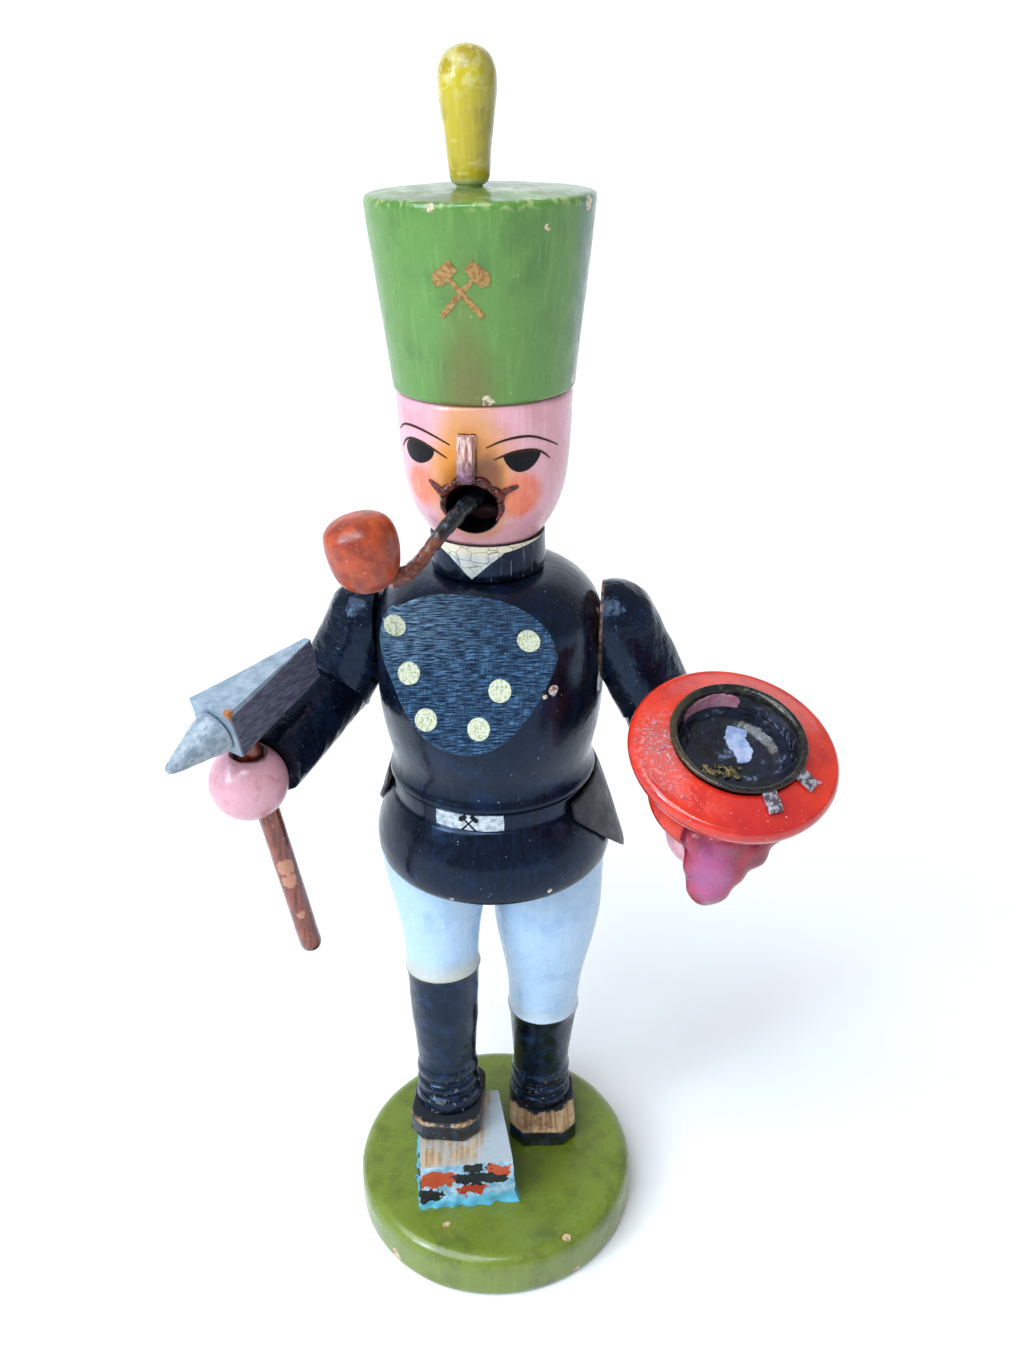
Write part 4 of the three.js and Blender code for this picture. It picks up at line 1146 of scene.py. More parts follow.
def tin_finish():
    s = Shade("tin_plate", Metallic=0.85)
    cloud = s.grain(4, 5)
    s.colour = s.mix((120, 114, 104), (168, 164, 156), s.step(cloud, 0.35, 0.65))
    burnt = s.near(BODY + UP * 130.4, 7, 3, 3)
    s.over((40, 28, 20), burnt, 0.85)
    s.specks((190, 184, 172), 0.7, 0.62, 0.6)
    return s.done(s.rough(0.3, 0.6), [(cloud, 0.12), (s.grain(0.6, 4), 0.06)])


# ---- base, block, soles, legs ----
def make_base():
    profile = [(0, 0), (34.8, 0), (36, 1.2), (36, 9.6), (35.3, 11.4), (33.6, BASE_H), (0, BASE_H)]
    line = dense(filleted(profile, 1.2, 5), 3)

    def shape(out, r, h):
        return r - 0.12 - 0.12 * ripple(out * r + UP * h, 9) * min(1, r / 20)

    piece("base_disc", lathe(line, Vector((0, 0, 0)), UP, 160, shape=shape), green_base_paint(),
          "lower_body")


def make_block():
    """A rough block: flat on top, its sides lumpy with thick paint down to the base."""
    corners = [Vector(p) for p in ((-19, -19.2), (5, -17.4), (1.4, 6.6), (-20.6, 4.6))]
    middle = Vector((-8, -6))
    z0 = BASE_H + 0.05
    n = 30
    rows = 22
    points = []
    outline = []
    for i in range(4):
        a, b = corners[i], corners[(i + 1) % 4]
        outline.extend(a + (b - a) * (k / n) for k in range(n))
    count = len(outline)
    for j in range(rows + 1):
        t = j / rows
        for p in outline:
            flat = p + (middle - p) * 0.04 * t
            away = (p - middle).normalized()
            here = Vector((flat.x, flat.y, z0 + (BLOCK_TOP - z0) * t))
            foot = max(0, 1 - t * 5)
            lump = 0.22 * ripple(here, 1.6) + 0.3 * ripple(here, 4) + foot * (0.9 + 1.3 * ripple(here, 1.9))
            lump *= 1 if t < 0.93 else 0.25
            points.append(Vector((here.x + away.x * lump, here.y + away.y * lump, here.z)))
    faces = grid_faces(rows, count)
    for j, z in ((0, z0), (rows, BLOCK_TOP)):
        start = len(points)
        ring = [j * count + i for i in range(count)]
        for shrink in (0.75, 0.5, 0.25):
            for i in range(count):
                edge = points[j * count + i]
                p = middle + (Vector((edge.x, edge.y)) - middle) * shrink
                points.append(Vector((p.x, p.y, z + 0.1 * ripple((p.x, p.y, z), 5))))
            inner = [start + i for i in range(count)]
            faces.extend((ring[i], ring[(i + 1) % count], inner[(i + 1) % count],
                          inner[i]) for i in range(count))
            ring = inner
            start += count
        points.append(Vector((middle.x, middle.y, z)))
        faces.extend((ring[i], ring[(i + 1) % count], len(points) - 1) for i in range(count))
    piece("ore_block", make_mesh(points, faces), ore_paint(), "lower_body", angle=50)


def make_sole(name, x, y, z, turn, boot_y, smear):
    """A flat wooden foot with cut corners; its edges are worn uneven."""
    w, length, cut, thick = 9.0, 11.7, 3.6, 5.6
    outline = [
        (-w + cut, -length), (w - cut, -length), (w, -length + cut), (w, length - cut),
        (w - cut, length), (-w + cut, length), (-w, length - cut), (-w, -length + cut),
    ]
    ring = dense(filleted([*outline, outline[0]], 0.8, 2), 0.7)[:-1]
    levels = [(0.97, 0), (1.0, 0.5), (1.0, 1.8), (1.0, 3.2), (1.0, 4.6), (0.985, 5.2), (0.95, thick),
              (0.8, thick), (0.6, thick), (0.4, thick), (0.2, thick)]
    a = math.radians(turn)
    points = []
    for scale, h in levels:
        for p in ring:
            here = Vector((p.x * scale, p.y * scale, h))
            out = Vector((p.x, p.y, 0)).normalized()
            here += out * 0.16 * ripple(here + UP * z, 2.4) - out * 0.12
            here.z += 0.12 * ripple(here + UP * z, 3.5) * (h > 4)
            points.append(Vector((
                x + here.x * math.cos(a) - here.y * math.sin(a),
                y + here.x * math.sin(a) + here.y * math.cos(a), z + here.z)))
    n = len(ring)
    faces = grid_faces(len(levels) - 1, n)
    faces.append(tuple(range(n)))
    faces.append(tuple((len(levels) - 1) * n + i for i in range(n)))
    finish = sole_finish(name, z + thick, Vector((x, boot_y, 0)), smear)
    piece(name, make_mesh(points, faces), finish, "lower_body")


def make_leg(name, foot, hip, b, stained):
    """Boot and trouser leg from one turning, cut level with the sole and the skirt."""
    axis = hip - foot
    length = axis.length
    profile = [
        (0, -4), (8.3, -4), (8.3, 1.6), (8.0, 2.6), (7.2, 3.4), (7.8, 4.2), (8.0, 5.2), (7.7, 6.2), (7.1, 7),
        (7.7, 7.8), (7.9, 9), (7.7, 10.2), (7.3, 11.2), (7.6, 16), (8.4, 25), (8.9, b - 1.2), (9.4, b - 0.5),
        (9.4, b + 0.4), (9.0, b + 0.9), (9.3, b + 8), (10.6, b + 16), (12.5, b + 25), (LEG_R, b + 33),
        (LEG_R, length + 4), (0, length + 4),
    ]
    line = dense(filleted(profile, 3.0, 4), 1.5)

    def shape(out, r, h):
        wobble = 0.14 if h < b else 0.08
        return r + wobble * ripple(out * r + UP * h + foot, 4.5)

    mesh = lathe(line, foot, axis, 112, shape=shape)
    sliced(mesh, foot, -UP)
    sliced(mesh, Vector((0, 0, HEM_Z + 3)), UP)
    piece(name, mesh, leg_finish(name, foot.z + b, foot.z, stained), "lower_body")


# ---- hips, buckle, leather, plate ----
def make_hips():
    top = SPIGOT_TOP
    r = SPIGOT_R
    profile = [(0, HEM_Z + 2.2), (24.5, HEM_Z + 2.0), (26.4, HEM_Z + 0.2), *HIPS,
               (17.9, BELT_TOP + 0.1), (r, BELT_TOP + 0.5), (r, top - 0.8), (r - 0.8, top), (0, top)]
    line = dense(filleted(profile, 0.9, 3), 1.4)

    piece("hip_body", lathe(line, BODY, UP, 176, shape=uneven(0.06, 7, 0.03)), hips_finish(), "lower_body",
          angle=45)


def make_buckle():
    place = on_turning([(BELT_R + 0.12, 100), (BELT_R + 0.12, 140)])
    outline = [(-2.3, 119.7), (2, 119.55), (6, 119.7), (10, 119.6), (13.4, 119.75), (13.5, 121.5),
               (13.3, 123.5),
               (9, 123.55), (5, 123.45), (1, 123.6), (-2.2, 123.5), (-2.35, 121.5)]
    edge = outline_of(outline, 0.5)
    piece("belt_buckle", film(edge, place, 0.16, 0.8, 0.1), silver_paint(), "lower_body")
    raised = on_turning([(BELT_R + 0.26, 100), (BELT_R + 0.26, 140)])
    extra("buckle_hammers", hammers(raised, (5.6, 121.35), 4.6, 0.05), black_line_paint("buckle_line"),
          "lower_body")


def leather_point(u, v, side):
    """The leather's sheet: u from -1 to 1 round the back, v from 0 at the belt to 1 at its hem."""
    far = abs(u)
    tip = 0.72
    top = BELT_TOP - 0.2 - 2 * far ** 6
    fall = (far - tip) / (1 - tip) if far > tip else 0
    low = 103.2 + 14.6 * fall if far > tip else 100.6 + 2.6 * (far / tip) ** 2
    z = top + (low - top) * v
    flare = BELT_R + 0.9 + (31 - 5.6 * fall - BELT_R - 0.9) * v ** 0.85
    wave = 0.5 * v * math.sin(7 * u + 0.8) * (1 - fall)
    r = max(flare + wave, radius_at(HIPS, z) + 0.85) + side * 0.35
    a = math.radians(70 + u * 113)
    return BODY + Vector((r * math.cos(a), r * math.sin(a), z))


def make_leather():
    nu, nv = 150, 26
    points = [
        leather_point(-1 + 2 * i / nu, j / nv, side) + UP * 0.1 * ripple((i * 0.3, j * 0.3, side), 1)
        for side in (-1, 1) for i in range(nu + 1) for j in range(nv + 1)
    ]
    layer = (nu + 1) * (nv + 1)

    def at(s, i, j):
        return s * layer + i * (nv + 1) + j

    faces = []
    for i in range(nu):
        for j in range(nv):
            faces.append((at(0, i, j), at(0, i + 1, j), at(0, i + 1, j + 1), at(0, i, j + 1)))
            faces.append((at(1, i, j), at(1, i, j + 1), at(1, i + 1, j + 1), at(1, i + 1, j)))
        faces.append((at(0, i, 0), at(1, i, 0), at(1, i + 1, 0), at(0, i + 1, 0)))
        faces.append((at(0, i, nv), at(0, i + 1, nv), at(1, i + 1, nv), at(1, i, nv)))
    for j in range(nv):
        faces.append((at(0, 0, j), at(0, 0, j + 1), at(1, 0, j + 1), at(1, 0, j)))
        faces.append((at(0, nu, j), at(1, nu, j), at(1, nu, j + 1), at(0, nu, j + 1)))
    piece("back_leather", make_mesh(points, faces), leather_finish(), "lower_body")


def make_plate():
    z = PLATE_Z
    plate = [(1.2, z), (12.2, z), (13.5, z + 1.5), (13.2, z + 1.8), (12.7, z + 1.7), (11.8, z + 0.6),
             (1.2, z + 0.6)]
    line = dense(filleted([*plate, plate[0]], 0.5, 3), 1.2)[:-1]

    def shape(out, r, h):
        return r + (0.15 * ripple(out * r, 3) if r > 12 else 0)

    piece("incense_plate", lathe(line, BODY, UP, 96, True, shape), tin_finish(), "incense_plate")
    tack = [(0, 123.8), (0.8, 123.8), (0.8, z + 0.9), (2.2, z + 0.9), (2.1, z + 1.3), (1.2, z + 1.7),
            (0, z + 1.8)]
    piece("plate_tack", lathe(filleted(tack, 0.3), BODY, UP, 40), tin_finish(), "lower_body")


# ---- torso, collar, head, hat ----
def make_torso():
    r = 18.0
    inner = [(4.4, 173.9), (4.4, 163.5), (9, 160.5), (14, 156), (16.4, 150), (16.4, 133), (r, 131.4),
             (r, 124.4)]
    outer = dense(filleted(TORSO, 2.4, 4), 0.6)
    line = outer + dense(filleted(inner, 0.8, 2), 3)
    front = facing(FACET_TURN)
    glued = [(shoulder_plane(-1)[1], RIGHT_SHOULDER.z - 4), (shoulder_plane(1)[1], LEFT_SHOULDER.z - 4)]

    def shape(out, radius, h):
        radius += 0.05 * ripple(out * radius + UP * h, 8)
        if radius < 12:
            return radius
        for way, height in glued:
            share = out.dot(way)
            if share > 0.8:
                beside = radius * math.sqrt(max(0, 1 - share * share))
                near = max(0, min(1, SPOT_R + 0.4 - math.hypot(beside, h - height)))
                radius -= max(0, radius - (ARM_FLAT - 0.2) / share) * near
        facing_it = out.dot(front)
        if facing_it < 0.05:
            return radius
        flat = facet_depth(h) / facing_it
        blend = 0.45
        t = max(0, min(1, 0.5 + 0.5 * (radius - flat) / blend))
        return radius + (flat - radius) * t - blend * t * (1 - t) * 0.5

    piece("torso_shell", lathe(line, BODY, UP, 300, True, shape), torso_finish(), "upper_body",
          angle=60)


DOTS = [(16.3, 164.7), (-13.3, 164.2), (12.8, 154.8), (-7.7, 153.3), (8.1, 145.9), (-3.8, 145.3)]


def make_dots():
    films = []
    for s, z in DOTS:
        tall = DOT_R * (math.cos(math.radians(FACET_TILT)) if z < 160 else 1)
        turns = [2 * math.pi * k / 40 for k in range(40)]
        ring = [(s + DOT_R * math.cos(a), z + tall * math.sin(a)) for a in turns]
        films.append(film(ring, on_facet, 0.16, 0.6, 0.05))
    extra("chest_dots", joined(*films), dot_paint(), "upper_body")


def make_collar():
    profile = [(4.4, 174.2), *COLLAR, (12.1, 182.4), (11.3, 181.4), (9.4, 180.2), (4.4, 180.2)]
    line = dense(filleted([*profile, profile[0]], 0.6, 3), 1.0)[:-1]
    piece("collar_ring", lathe(line, BODY, UP, 128, True), collar_finish(), "upper_body")
    place = on_turning(COLLAR)
    outline = [(3.5, 175.2), (6.0, 177.6), (8.7, 179.8), (12, 181.3), (15.6, 182.3), (8, 182.4), (0, 182.4),
               (-8, 182.4), (-15, 182.3), (-10, 181.9), (-3.6, 181), (0.2, 178.2)]
    edge = outline_of(outline, 0.6)
    extra("shirt_front", film(edge, place, 0.13, 0.7, 0.06), shirt_paint(), "upper_body")


def nose_box(grow):
    """The nose's slot or a coarse nose, in the head's frame."""
    half = Vector((1.7 + grow, 2.3 + grow, 4.7 + grow))
    turn = Matrix.Rotation(math.radians(-FACE_TURN), 3, "Z")
    tilt = Matrix.Rotation(math.radians(-7), 3, "X")
    centre = Vector((0, -19.3, 203.2))
    return half, lambda p: BODY + turn @ (centre + tilt @ p)


def make_head():
    profile = [
        (0, 206), (6, 205), (9, 201), (9.8, 194), (8.4, 188.5), (4.4, 185.4), (4.4, 180.5), *HEAD, (0, 213.2),
    ]
    line = dense(filleted(profile, 1.4, 3), 1.0)

    mesh = lathe(line, BODY, UP, 176, shape=uneven(0.06, 6, beyond=11))
    front = facing(FACE_TURN)
    lumps = lathe([(0, 4), (MOUTH_R, 4), (MOUTH_R, 15.4), (MOUTH_R + 0.35, 16.6), (MOUTH_R + 0.6, 30),
                   (0, 30)],
                  BODY + UP * MOUTH_Z, front, 72,
                  shape=lambda out, r, h: r + 0.14 * ripple(out * r + UP * h * 0.4, 1.5))
    half, place = nose_box(0.06)
    signs = (-1, 1)
    box = [place(Vector((x * half.x, y * half.y, z * half.z))) for z in signs for y in signs for x in signs]
    sides = [(0, 1, 3, 2), (4, 5, 7, 6), (0, 1, 5, 4), (2, 3, 7, 6), (0, 2, 6, 4), (1, 3, 7, 5)]
    mesh = cut_by(mesh, lumps, make_mesh(box, sides))
    piece("head", mesh, skin_finish(), "upper_body")


def make_nose():
    """A whittled stick: split fibres down its length and a ragged top."""
    half, place = nose_box(0.0)
    around, rows = 40, 34
    points = []
    for j in range(rows + 1):
        t = j / rows
        for i in range(around):
            a = 2 * math.pi * i / around
            c, s = math.cos(a), math.sin(a)
            power = max(abs(c), abs(s)) ** 0.75
            x, y = c / power * half.x, s / power * half.y
            split = 0.26 * ripple((3 * c, 3 * s, t * 1.1), 0.8) + 0.16 * ripple((6 * c, 6 * s, t * 6), 1.1)
            taper = 1 - 0.1 * (1 - t)
            ragged = 0.5 * ripple((2 * c, 2 * s, 5), 0.7) * t ** 6
            points.append(place(Vector((x * taper + c * split, y * taper + s * split,
                                        (-1 + 2 * t) * half.z * 0.99 + ragged * 0.6 - 0.1 * t ** 6))))
    points.append(place(Vector((0, 0, -half.z * 0.97))))
    points.append(place(Vector((0, 0, half.z * 0.99 - 0.15))))
    faces = grid_faces(rows, around)
    last = rows * around
    for i in range(around):
        k = (i + 1) % around
        faces.append((i, k, len(points) - 2))
        faces.append((last + i, last + k, len(points) - 1))
    piece("nose_peg", make_mesh(points, faces), nose_finish(), "upper_body", angle=50)


EYES = {
    "right": [(19.3, 203.6), (17.4, 205.0), (14.4, 204.9), (11.6, 204.3), (10.8, 203.4), (11.9, 201.7),
              (14.6, 200.5),
              (17.6, 200.7), (19.3, 202.0)],
    "left": [(-3.6, 203.2), (-6.0, 203.5), (-9.0, 203.6), (-11.6, 203.0), (-11.0, 201.4), (-9.0, 199.9),
             (-6.6, 199.6), (-4.6, 200.9)],
}
LIDS = {
    "right": [(21.8, 202.5), (19.6, 204.6), (16.8, 205.3), (13.4, 205.0), (10.4, 203.9), (7.8, 202.6)],
    "left": [(-1.6, 202.5), (-4.4, 203.6), (-7.4, 203.95), (-10.4, 203.7), (-12.6, 202.7), (-14.4, 201.1)],
}
BROWS = {
    "right": [(22.9, 205.9), (20.6, 207.4), (18.0, 207.9), (14.3, 207.8), (10.4, 206.8), (7.1, 205.4)],
    "left": [(-0.2, 205.0), (-2.6, 206.1), (-4.8, 206.6), (-7.1, 206.8), (-9.7, 206.6), (-13.0, 205.3),
             (-17.0, 203.3)],
}


def make_eyes():
    face = on_turning(HEAD)
    dark = black_line_paint("eye_black")
    line = black_line_paint("line_black", 0.35)
    for side in ("right", "left"):
        extra(f"{side}_eye", film(loop(EYES[side]), face, 0.1), dark, "upper_body")
        lid = film(stroke(LIDS[side], [0.15, 0.45, 0.6, 0.6, 0.45, 0.2]), face, 0.13, 0.4)
        extra(f"{side}_lid_line", lid, line, "upper_body")
        brow = film(stroke(BROWS[side], [0.2, 0.4, 0.5, 0.45, 0.4, 0.25]), face, 0.1, 0.4)
        extra(f"{side}_brow", brow, line, "upper_body")


def make_moustache():
    """A scalloped bead of thick paint over the mouth, with a short tip at each end."""
    face = on_turning(HEAD)
    steps, cross = 150, 12
    points = []
    for i in range(steps + 1):
        t = i / steps
        a = math.radians(-26 + 228 * t)
        fade = min(1, 5 * t, 5 * (1 - t))
        scallop = abs(math.sin(math.pi * 6 * t))
        inner = MOUTH_R - 0.2
        outer = inner + 0.5 + fade * (0.9 + 0.8 * scallop)
        lift = 0.25 + fade * (0.45 + 0.5 * scallop)
        for k in range(cross):
            b = math.pi * k / (cross - 1)
            r = (inner + outer) / 2 - (outer - inner) / 2 * math.cos(b)
            here = Vector((r * math.cos(a), r * math.sin(a), 0))
            bump = lift * math.sin(b) * (1 + 0.35 * ripple(here, 0.9))
            points.append(face(MOUTH_S - here.x, MOUTH_Z + here.y, bump - 0.15))
    faces = grid_faces(steps, cross)
    faces.append(tuple(range(cross)))
    faces.append(tuple(steps * cross + k for k in range(cross)))
    tips = [
        film(stroke([(9.0, 195.0), (10.2, 196.0), (12.3, 197.4)], [1.9, 1.5, 0.5]), face, 0.3, 0.4, 0.12),
        film(stroke([(-2.4, 194.8), (-3.9, 195.9), (-6.6, 196.6)], [1.9, 1.3, 0.6]), face, 0.3, 0.4, 0.12),
    ]
    extra("moustache", joined(make_mesh(points, faces), *tips), tar_finish(), "upper_body",
          angle=60)


def make_hat():
    profile = [(0, 213.25), *HAT, (21.9, 250.1), (14, 250.9), (0, 251.2)]
    line = dense(filleted(profile, 0.9, 4), 1.6)

    piece("hat", lathe(line, BODY, UP, 176, shape=uneven(0.08, 9, 0.05, 12)), hat_finish(), "upper_body")
    side = on_turning(HAT)
    extra("hat_hammers", hammers(side, (3.7, 234.6), 11.2, 0.16), emblem_paint(), "upper_body")


def make_plume():
    profile = [
        (0, 250.2), (2.3, 250.2), (2.4, 251.4), (3.4, 251.8), (3.9, 253.2), (4.2, 257), (4.6, 260.7),
        (5.2, 264.8), (5.6, 268.6), (5.4, 271.2), (4.3, 273.5), (2.3, 274.9), (0, 275.3),
    ]
    line = dense(filleted(profile, 2.0, 4), 0.8)
    foot = Vector((-0.4, 13, 0))

    def shape(out, r, h):
        return r + 0.13 * ripple(out * r + UP * h * 0.6, 3.2)

    piece("plume", lathe(line, foot, UP, 80, shape=shape), plume_finish(), "upper_body")


# ---- pipe ----
def tube(points, radii, around=28, rough=0.12, size=1.6):
    """A closed tube along a line, its radius given along the way."""
    line = dense(filleted(points, 3.0, 5), 0.4)
    total = len(line) - 1
    u, _ = across(line[1] - line[0])
    verts = []
    for i, p in enumerate(line):
        way = (line[min(i + 1, total)] - line[max(i - 1, 0)]).normalized()
        u = (u - way * u.dot(way)).normalized()
        v = way.cross(u)
        place = i / total * (len(radii) - 1)
        k = min(int(place), len(radii) - 2)
        radius = radii[k] + (radii[k + 1] - radii[k]) * (place - k)
        for n in range(around):
            a = 2 * math.pi * n / around
            out = u * math.cos(a) + v * math.sin(a)
            verts.append(p + out * (radius + rough * ripple(p + out * radius, size)))
    faces = grid_faces(total, around)
    for i, p in ((0, line[0]), (total, line[-1])):
        verts.append(p)
        faces.extend((i * around + n, i * around + (n + 1) % around, len(verts) - 1) for n in range(around))
    return make_mesh(verts, faces)


def make_pipe():
    low = Vector((-20.7, -15, 180.6))
    top = Vector((-23.6, -15, 196.2))
    h = (top - low).length
    bowl = [(0, 0), (2.8, 0.3), (5.2, 1.8), (6.5, 4.4), (7.2, 8), (7.25, 10.8), (6.7, 13.2), (5.0, h - 1.0),
            (2.4, h - 0.3), (0, h - 0.2)]

    def shape(out, r, height):
        return r - 0.05 + 0.2 * ripple(out * r + UP * height, 5) + 0.08 * ripple(out * r + UP * height, 2)

    line = dense(filleted(bowl, 2.2, 4), 0.7)
    piece("pipe_bowl", lathe(line, low, top - low, 96, shape=shape), pipe_finish(), "pipe")
    stem = [Vector(p) for p in ((-17.6, -14.9, 182.7), (-14, -13.2, 183.2), (-10.6, -10.4, 185.8),
                                (-7.4, -6.6, 189.2))]
    finish = stem_finish()
    piece("pipe_stem", tube(stem, [1.9, 1.7, 1.35, 1.45, 1.5], rough=0.28), finish, "pipe")
    bit = [Vector((-7.7, -6.95, 188.9)), Vector((-3.6, -1.7, 191.9)), Vector((0.2, 3.2, 194.1))]
    piece("pipe_mouthpiece", tube(bit, [1.45, 1.6, 1.75, 1.9, 1.75], rough=0.25), finish, "pipe")


# ---- arms and hands ----
def shoulder_plane(side):
    a = math.radians(SHOULDER_TURN)
    out = Vector((side * math.cos(a), -side * math.sin(a), 0))
    return BODY + out * ARM_FLAT, out


def dish_space(grow):
    """The outside of the dish, grown a little, to cut what is stuck to it."""
    profile = [(r + grow * (r > 0), h - grow * (h < -18.5 or -9 < h < -4)) for r, h in DISH]
    profile[-1] = (profile[-1][0], grow)
    profile.append((0, 3))
    return lathe(profile, DISH_CENTRE, DISH_UP, 96)


def make_arm(label, side, shoulder, elbow, hand):
    """An upper arm with a domed shoulder and a forearm, mitred at the elbow, glued to the body."""
    upper = (elbow - shoulder).normalized()
    fore = (hand - elbow).normalized()
    mitre = (upper + fore).normalized()
    length = (elbow - shoulder).length
    s = SLEEVE_R
    dome = ball_profile(s, 90, 6)
    capsule = dense([Vector(p) for p in (*dome, (s, length + 14), (0, length + 14))], 1.4)

    def shape(out, r, h):
        here = out * r + UP * h + shoulder
        return r + 0.26 * ripple(here, 4.2) + 0.1 * ripple(here, 2) - 0.12

    glue_point, out = shoulder_plane(side)
    sleeve = lathe(capsule, shoulder, upper, 88, shape=shape)
    sliced(sleeve, elbow - mitre * 0.02, mitre)
    sliced(sleeve, glue_point, -out)
    finish = arm_finish(f"coat_{label}_arm", (glue_point, -out), 1.0 if side > 0 else 0.0)
    piece(f"{label}_upper_arm", softened(sleeve, 0.5), finish, "upper_body")
    cuff = hand - fore * (CUFF_BACK + 0.3)
    back = elbow - fore * 16
    reach = (cuff - back).length
    f = FOREARM_R
    profile = [(0, 0), (f + 0.9, 0), (f + 0.6, 16), (f, reach - 4), (f - 0.3, reach), (0, reach)]
    lower = lathe(dense([Vector(p) for p in profile], 1.4), back, fore, 88, shape=shape)
    sliced(lower, elbow + mitre * 0.02, -mitre)
    sliced(lower, glue_point, -out)
    if side > 0:
        lower = cut_by(lower, dish_space(0.3))
    piece(f"{label}_forearm", softened(lower, 0.5), finish, "upper_body")
    return fore


def ball(centre, shift, wrist_way):
    """A hand: a slightly uneven ball, cut flat at the wrist."""
    arc = ball_profile(HAND_R, 180, 4)
    arc[0], arc[-1] = (0, -HAND_R), (0, HAND_R)
    mesh = lathe(arc, centre + shift, UP, 88, shape=uneven(0.1, 5, 0.06, shift=centre))
    return sliced(mesh, centre - wrist_way * CUFF_BACK, -wrist_way)


def make_hands(right_way, left_way):
    right = ball(RIGHT_HAND, HAND_SHIFT, right_way)
    bore = rod(RIGHT_HAND - HAMMER_UP * 20, RIGHT_HAND + HAMMER_UP * 20, HANDLE_R + 0.3, 48)
    dent = lathe([(0, 6.6), (3.0, 6.6), (4.4, 9), (4.4, 12), (0, 12)], RIGHT_HAND, HAMMER_UP, 48,
                 shape=lambda out, r, h: r + 0.3 * ripple(out * r, 1.4))
    piece("right_hand", softened(cut_by(right, bore, dent), 0.3), hand_finish("skin_right_hand", RIGHT_HAND),
          "upper_body")
    left = ball(LEFT_HAND, Vector((0, 0, 0)), left_way)
    sliced(left, DISH_CENTRE - DISH_UP * 20.8, DISH_UP)
    piece("left_hand", softened(left, 0.3), hand_finish("skin_left_hand", LEFT_HAND), "upper_body")


# ---- hammer ----
def hammer_point(front, side, up):
    return RIGHT_HAND + HAMMER_FRONT * front + HAMMER_SIDE * side + HAMMER_UP * up


def make_hammer():
    """A wedge-shaped wooden head with a turned point on its face, on a round handle."""
    z0 = HEAD_ABOVE
    nose, tail, wide, thin = 5.7, -22.7, 5.8, 0.8
    n, m, k = 34, 16, 14
    points = []
    index = {}
    faces = []

    def corner(a, b, c):
        """A point of the wedge from three shares: along, across and up."""
        key = (a, b, c)
        if key not in index:
            t, s, h = a / n, b / m, c / k
            along = nose + (tail - nose) * t
            half = wide + (thin - wide) * t
            height = (11.1 + (9.8 - 11.1) * t) * h
            p = hammer_point(along, half * (2 * s - 1), z0 + height)
            index[key] = len(points)
            points.append(p + Vector((ripple(p, 6), ripple(p + UP * 30, 6), ripple(p + UP * 60, 6))) * 0.14)
        return index[key]

    for a in range(n):
        for b in range(m):
            for c in (0, k):
                faces.append((corner(a, b, c), corner(a + 1, b, c), corner(a + 1, b + 1, c),
                              corner(a, b + 1, c)))
        for c in range(k):
            for b in (0, m):
                faces.append((corner(a, b, c), corner(a + 1, b, c), corner(a + 1, b, c + 1),
                              corner(a, b, c + 1)))
    for b in range(m):
        for c in range(k):
            for a in (0, n):
                faces.append((corner(a, b, c), corner(a, b + 1, c), corner(a, b + 1, c + 1),
                              corner(a, b, c + 1)))
    socket = rod(hammer_point(0, 0, z0 - 2), hammer_point(0, 0, z0 + 7.3), HANDLE_R + 0.25, 40)
    block = softened(cut_by(make_mesh(points, faces), socket), 0.35, 3)
    piece("hammer_block", block, hammer_finish(), "hammer", angle=50)
    start = hammer_point(nose + 0.05, 0, z0 + 4.9)
    cone = [(0, 0), (4.9, 0), (4.75, 1.2), (4.2, 3.2), (3, 7), (1.7, 11.4), (1.1, 12.9), (0.5, 13.5),
            (0, 13.6)]
    down = (HAMMER_FRONT - HAMMER_UP * 0.06).normalized()
    tip = lathe(dense(filleted(cone, 1.2, 3), 0.7), start, down, 72,
                shape=uneven(0.14, 3, 0.05))
    piece("hammer_point", tip, point_finish(), "hammer")
    low, high, r = HANDLE_LOW, z0 + 7, HANDLE_R
    handle = [(0, low), (r - 1.0, low), (r - 0.3, low + 0.7), (r, low + 2), (r, high), (0, high)]
    stick = lathe(dense(filleted(handle, 0.8, 3), 1.2), RIGHT_HAND, HAMMER_UP, 56,
                  shape=lambda out, q, h: q - 0.05 + 0.07 * ripple(out * q + UP * h * 0.35, 2.4))
    piece("hammer_handle", stick, handle_finish(), "hammer")


# ---- dish, cup and wax ----
def make_dish():
    profile = [*DISH, (19.8, 0.1), (14.4, 2), (13.2, 2), (13.2, -6.2), (0, -6.2)]
    line = dense(filleted(profile, 1.0, 4), 1.0)

    piece("candle_dish", lathe(line, DISH_CENTRE, DISH_UP, 176, shape=uneven(0.05, 6, beyond=9)),
          dish_finish(), "upper_body")


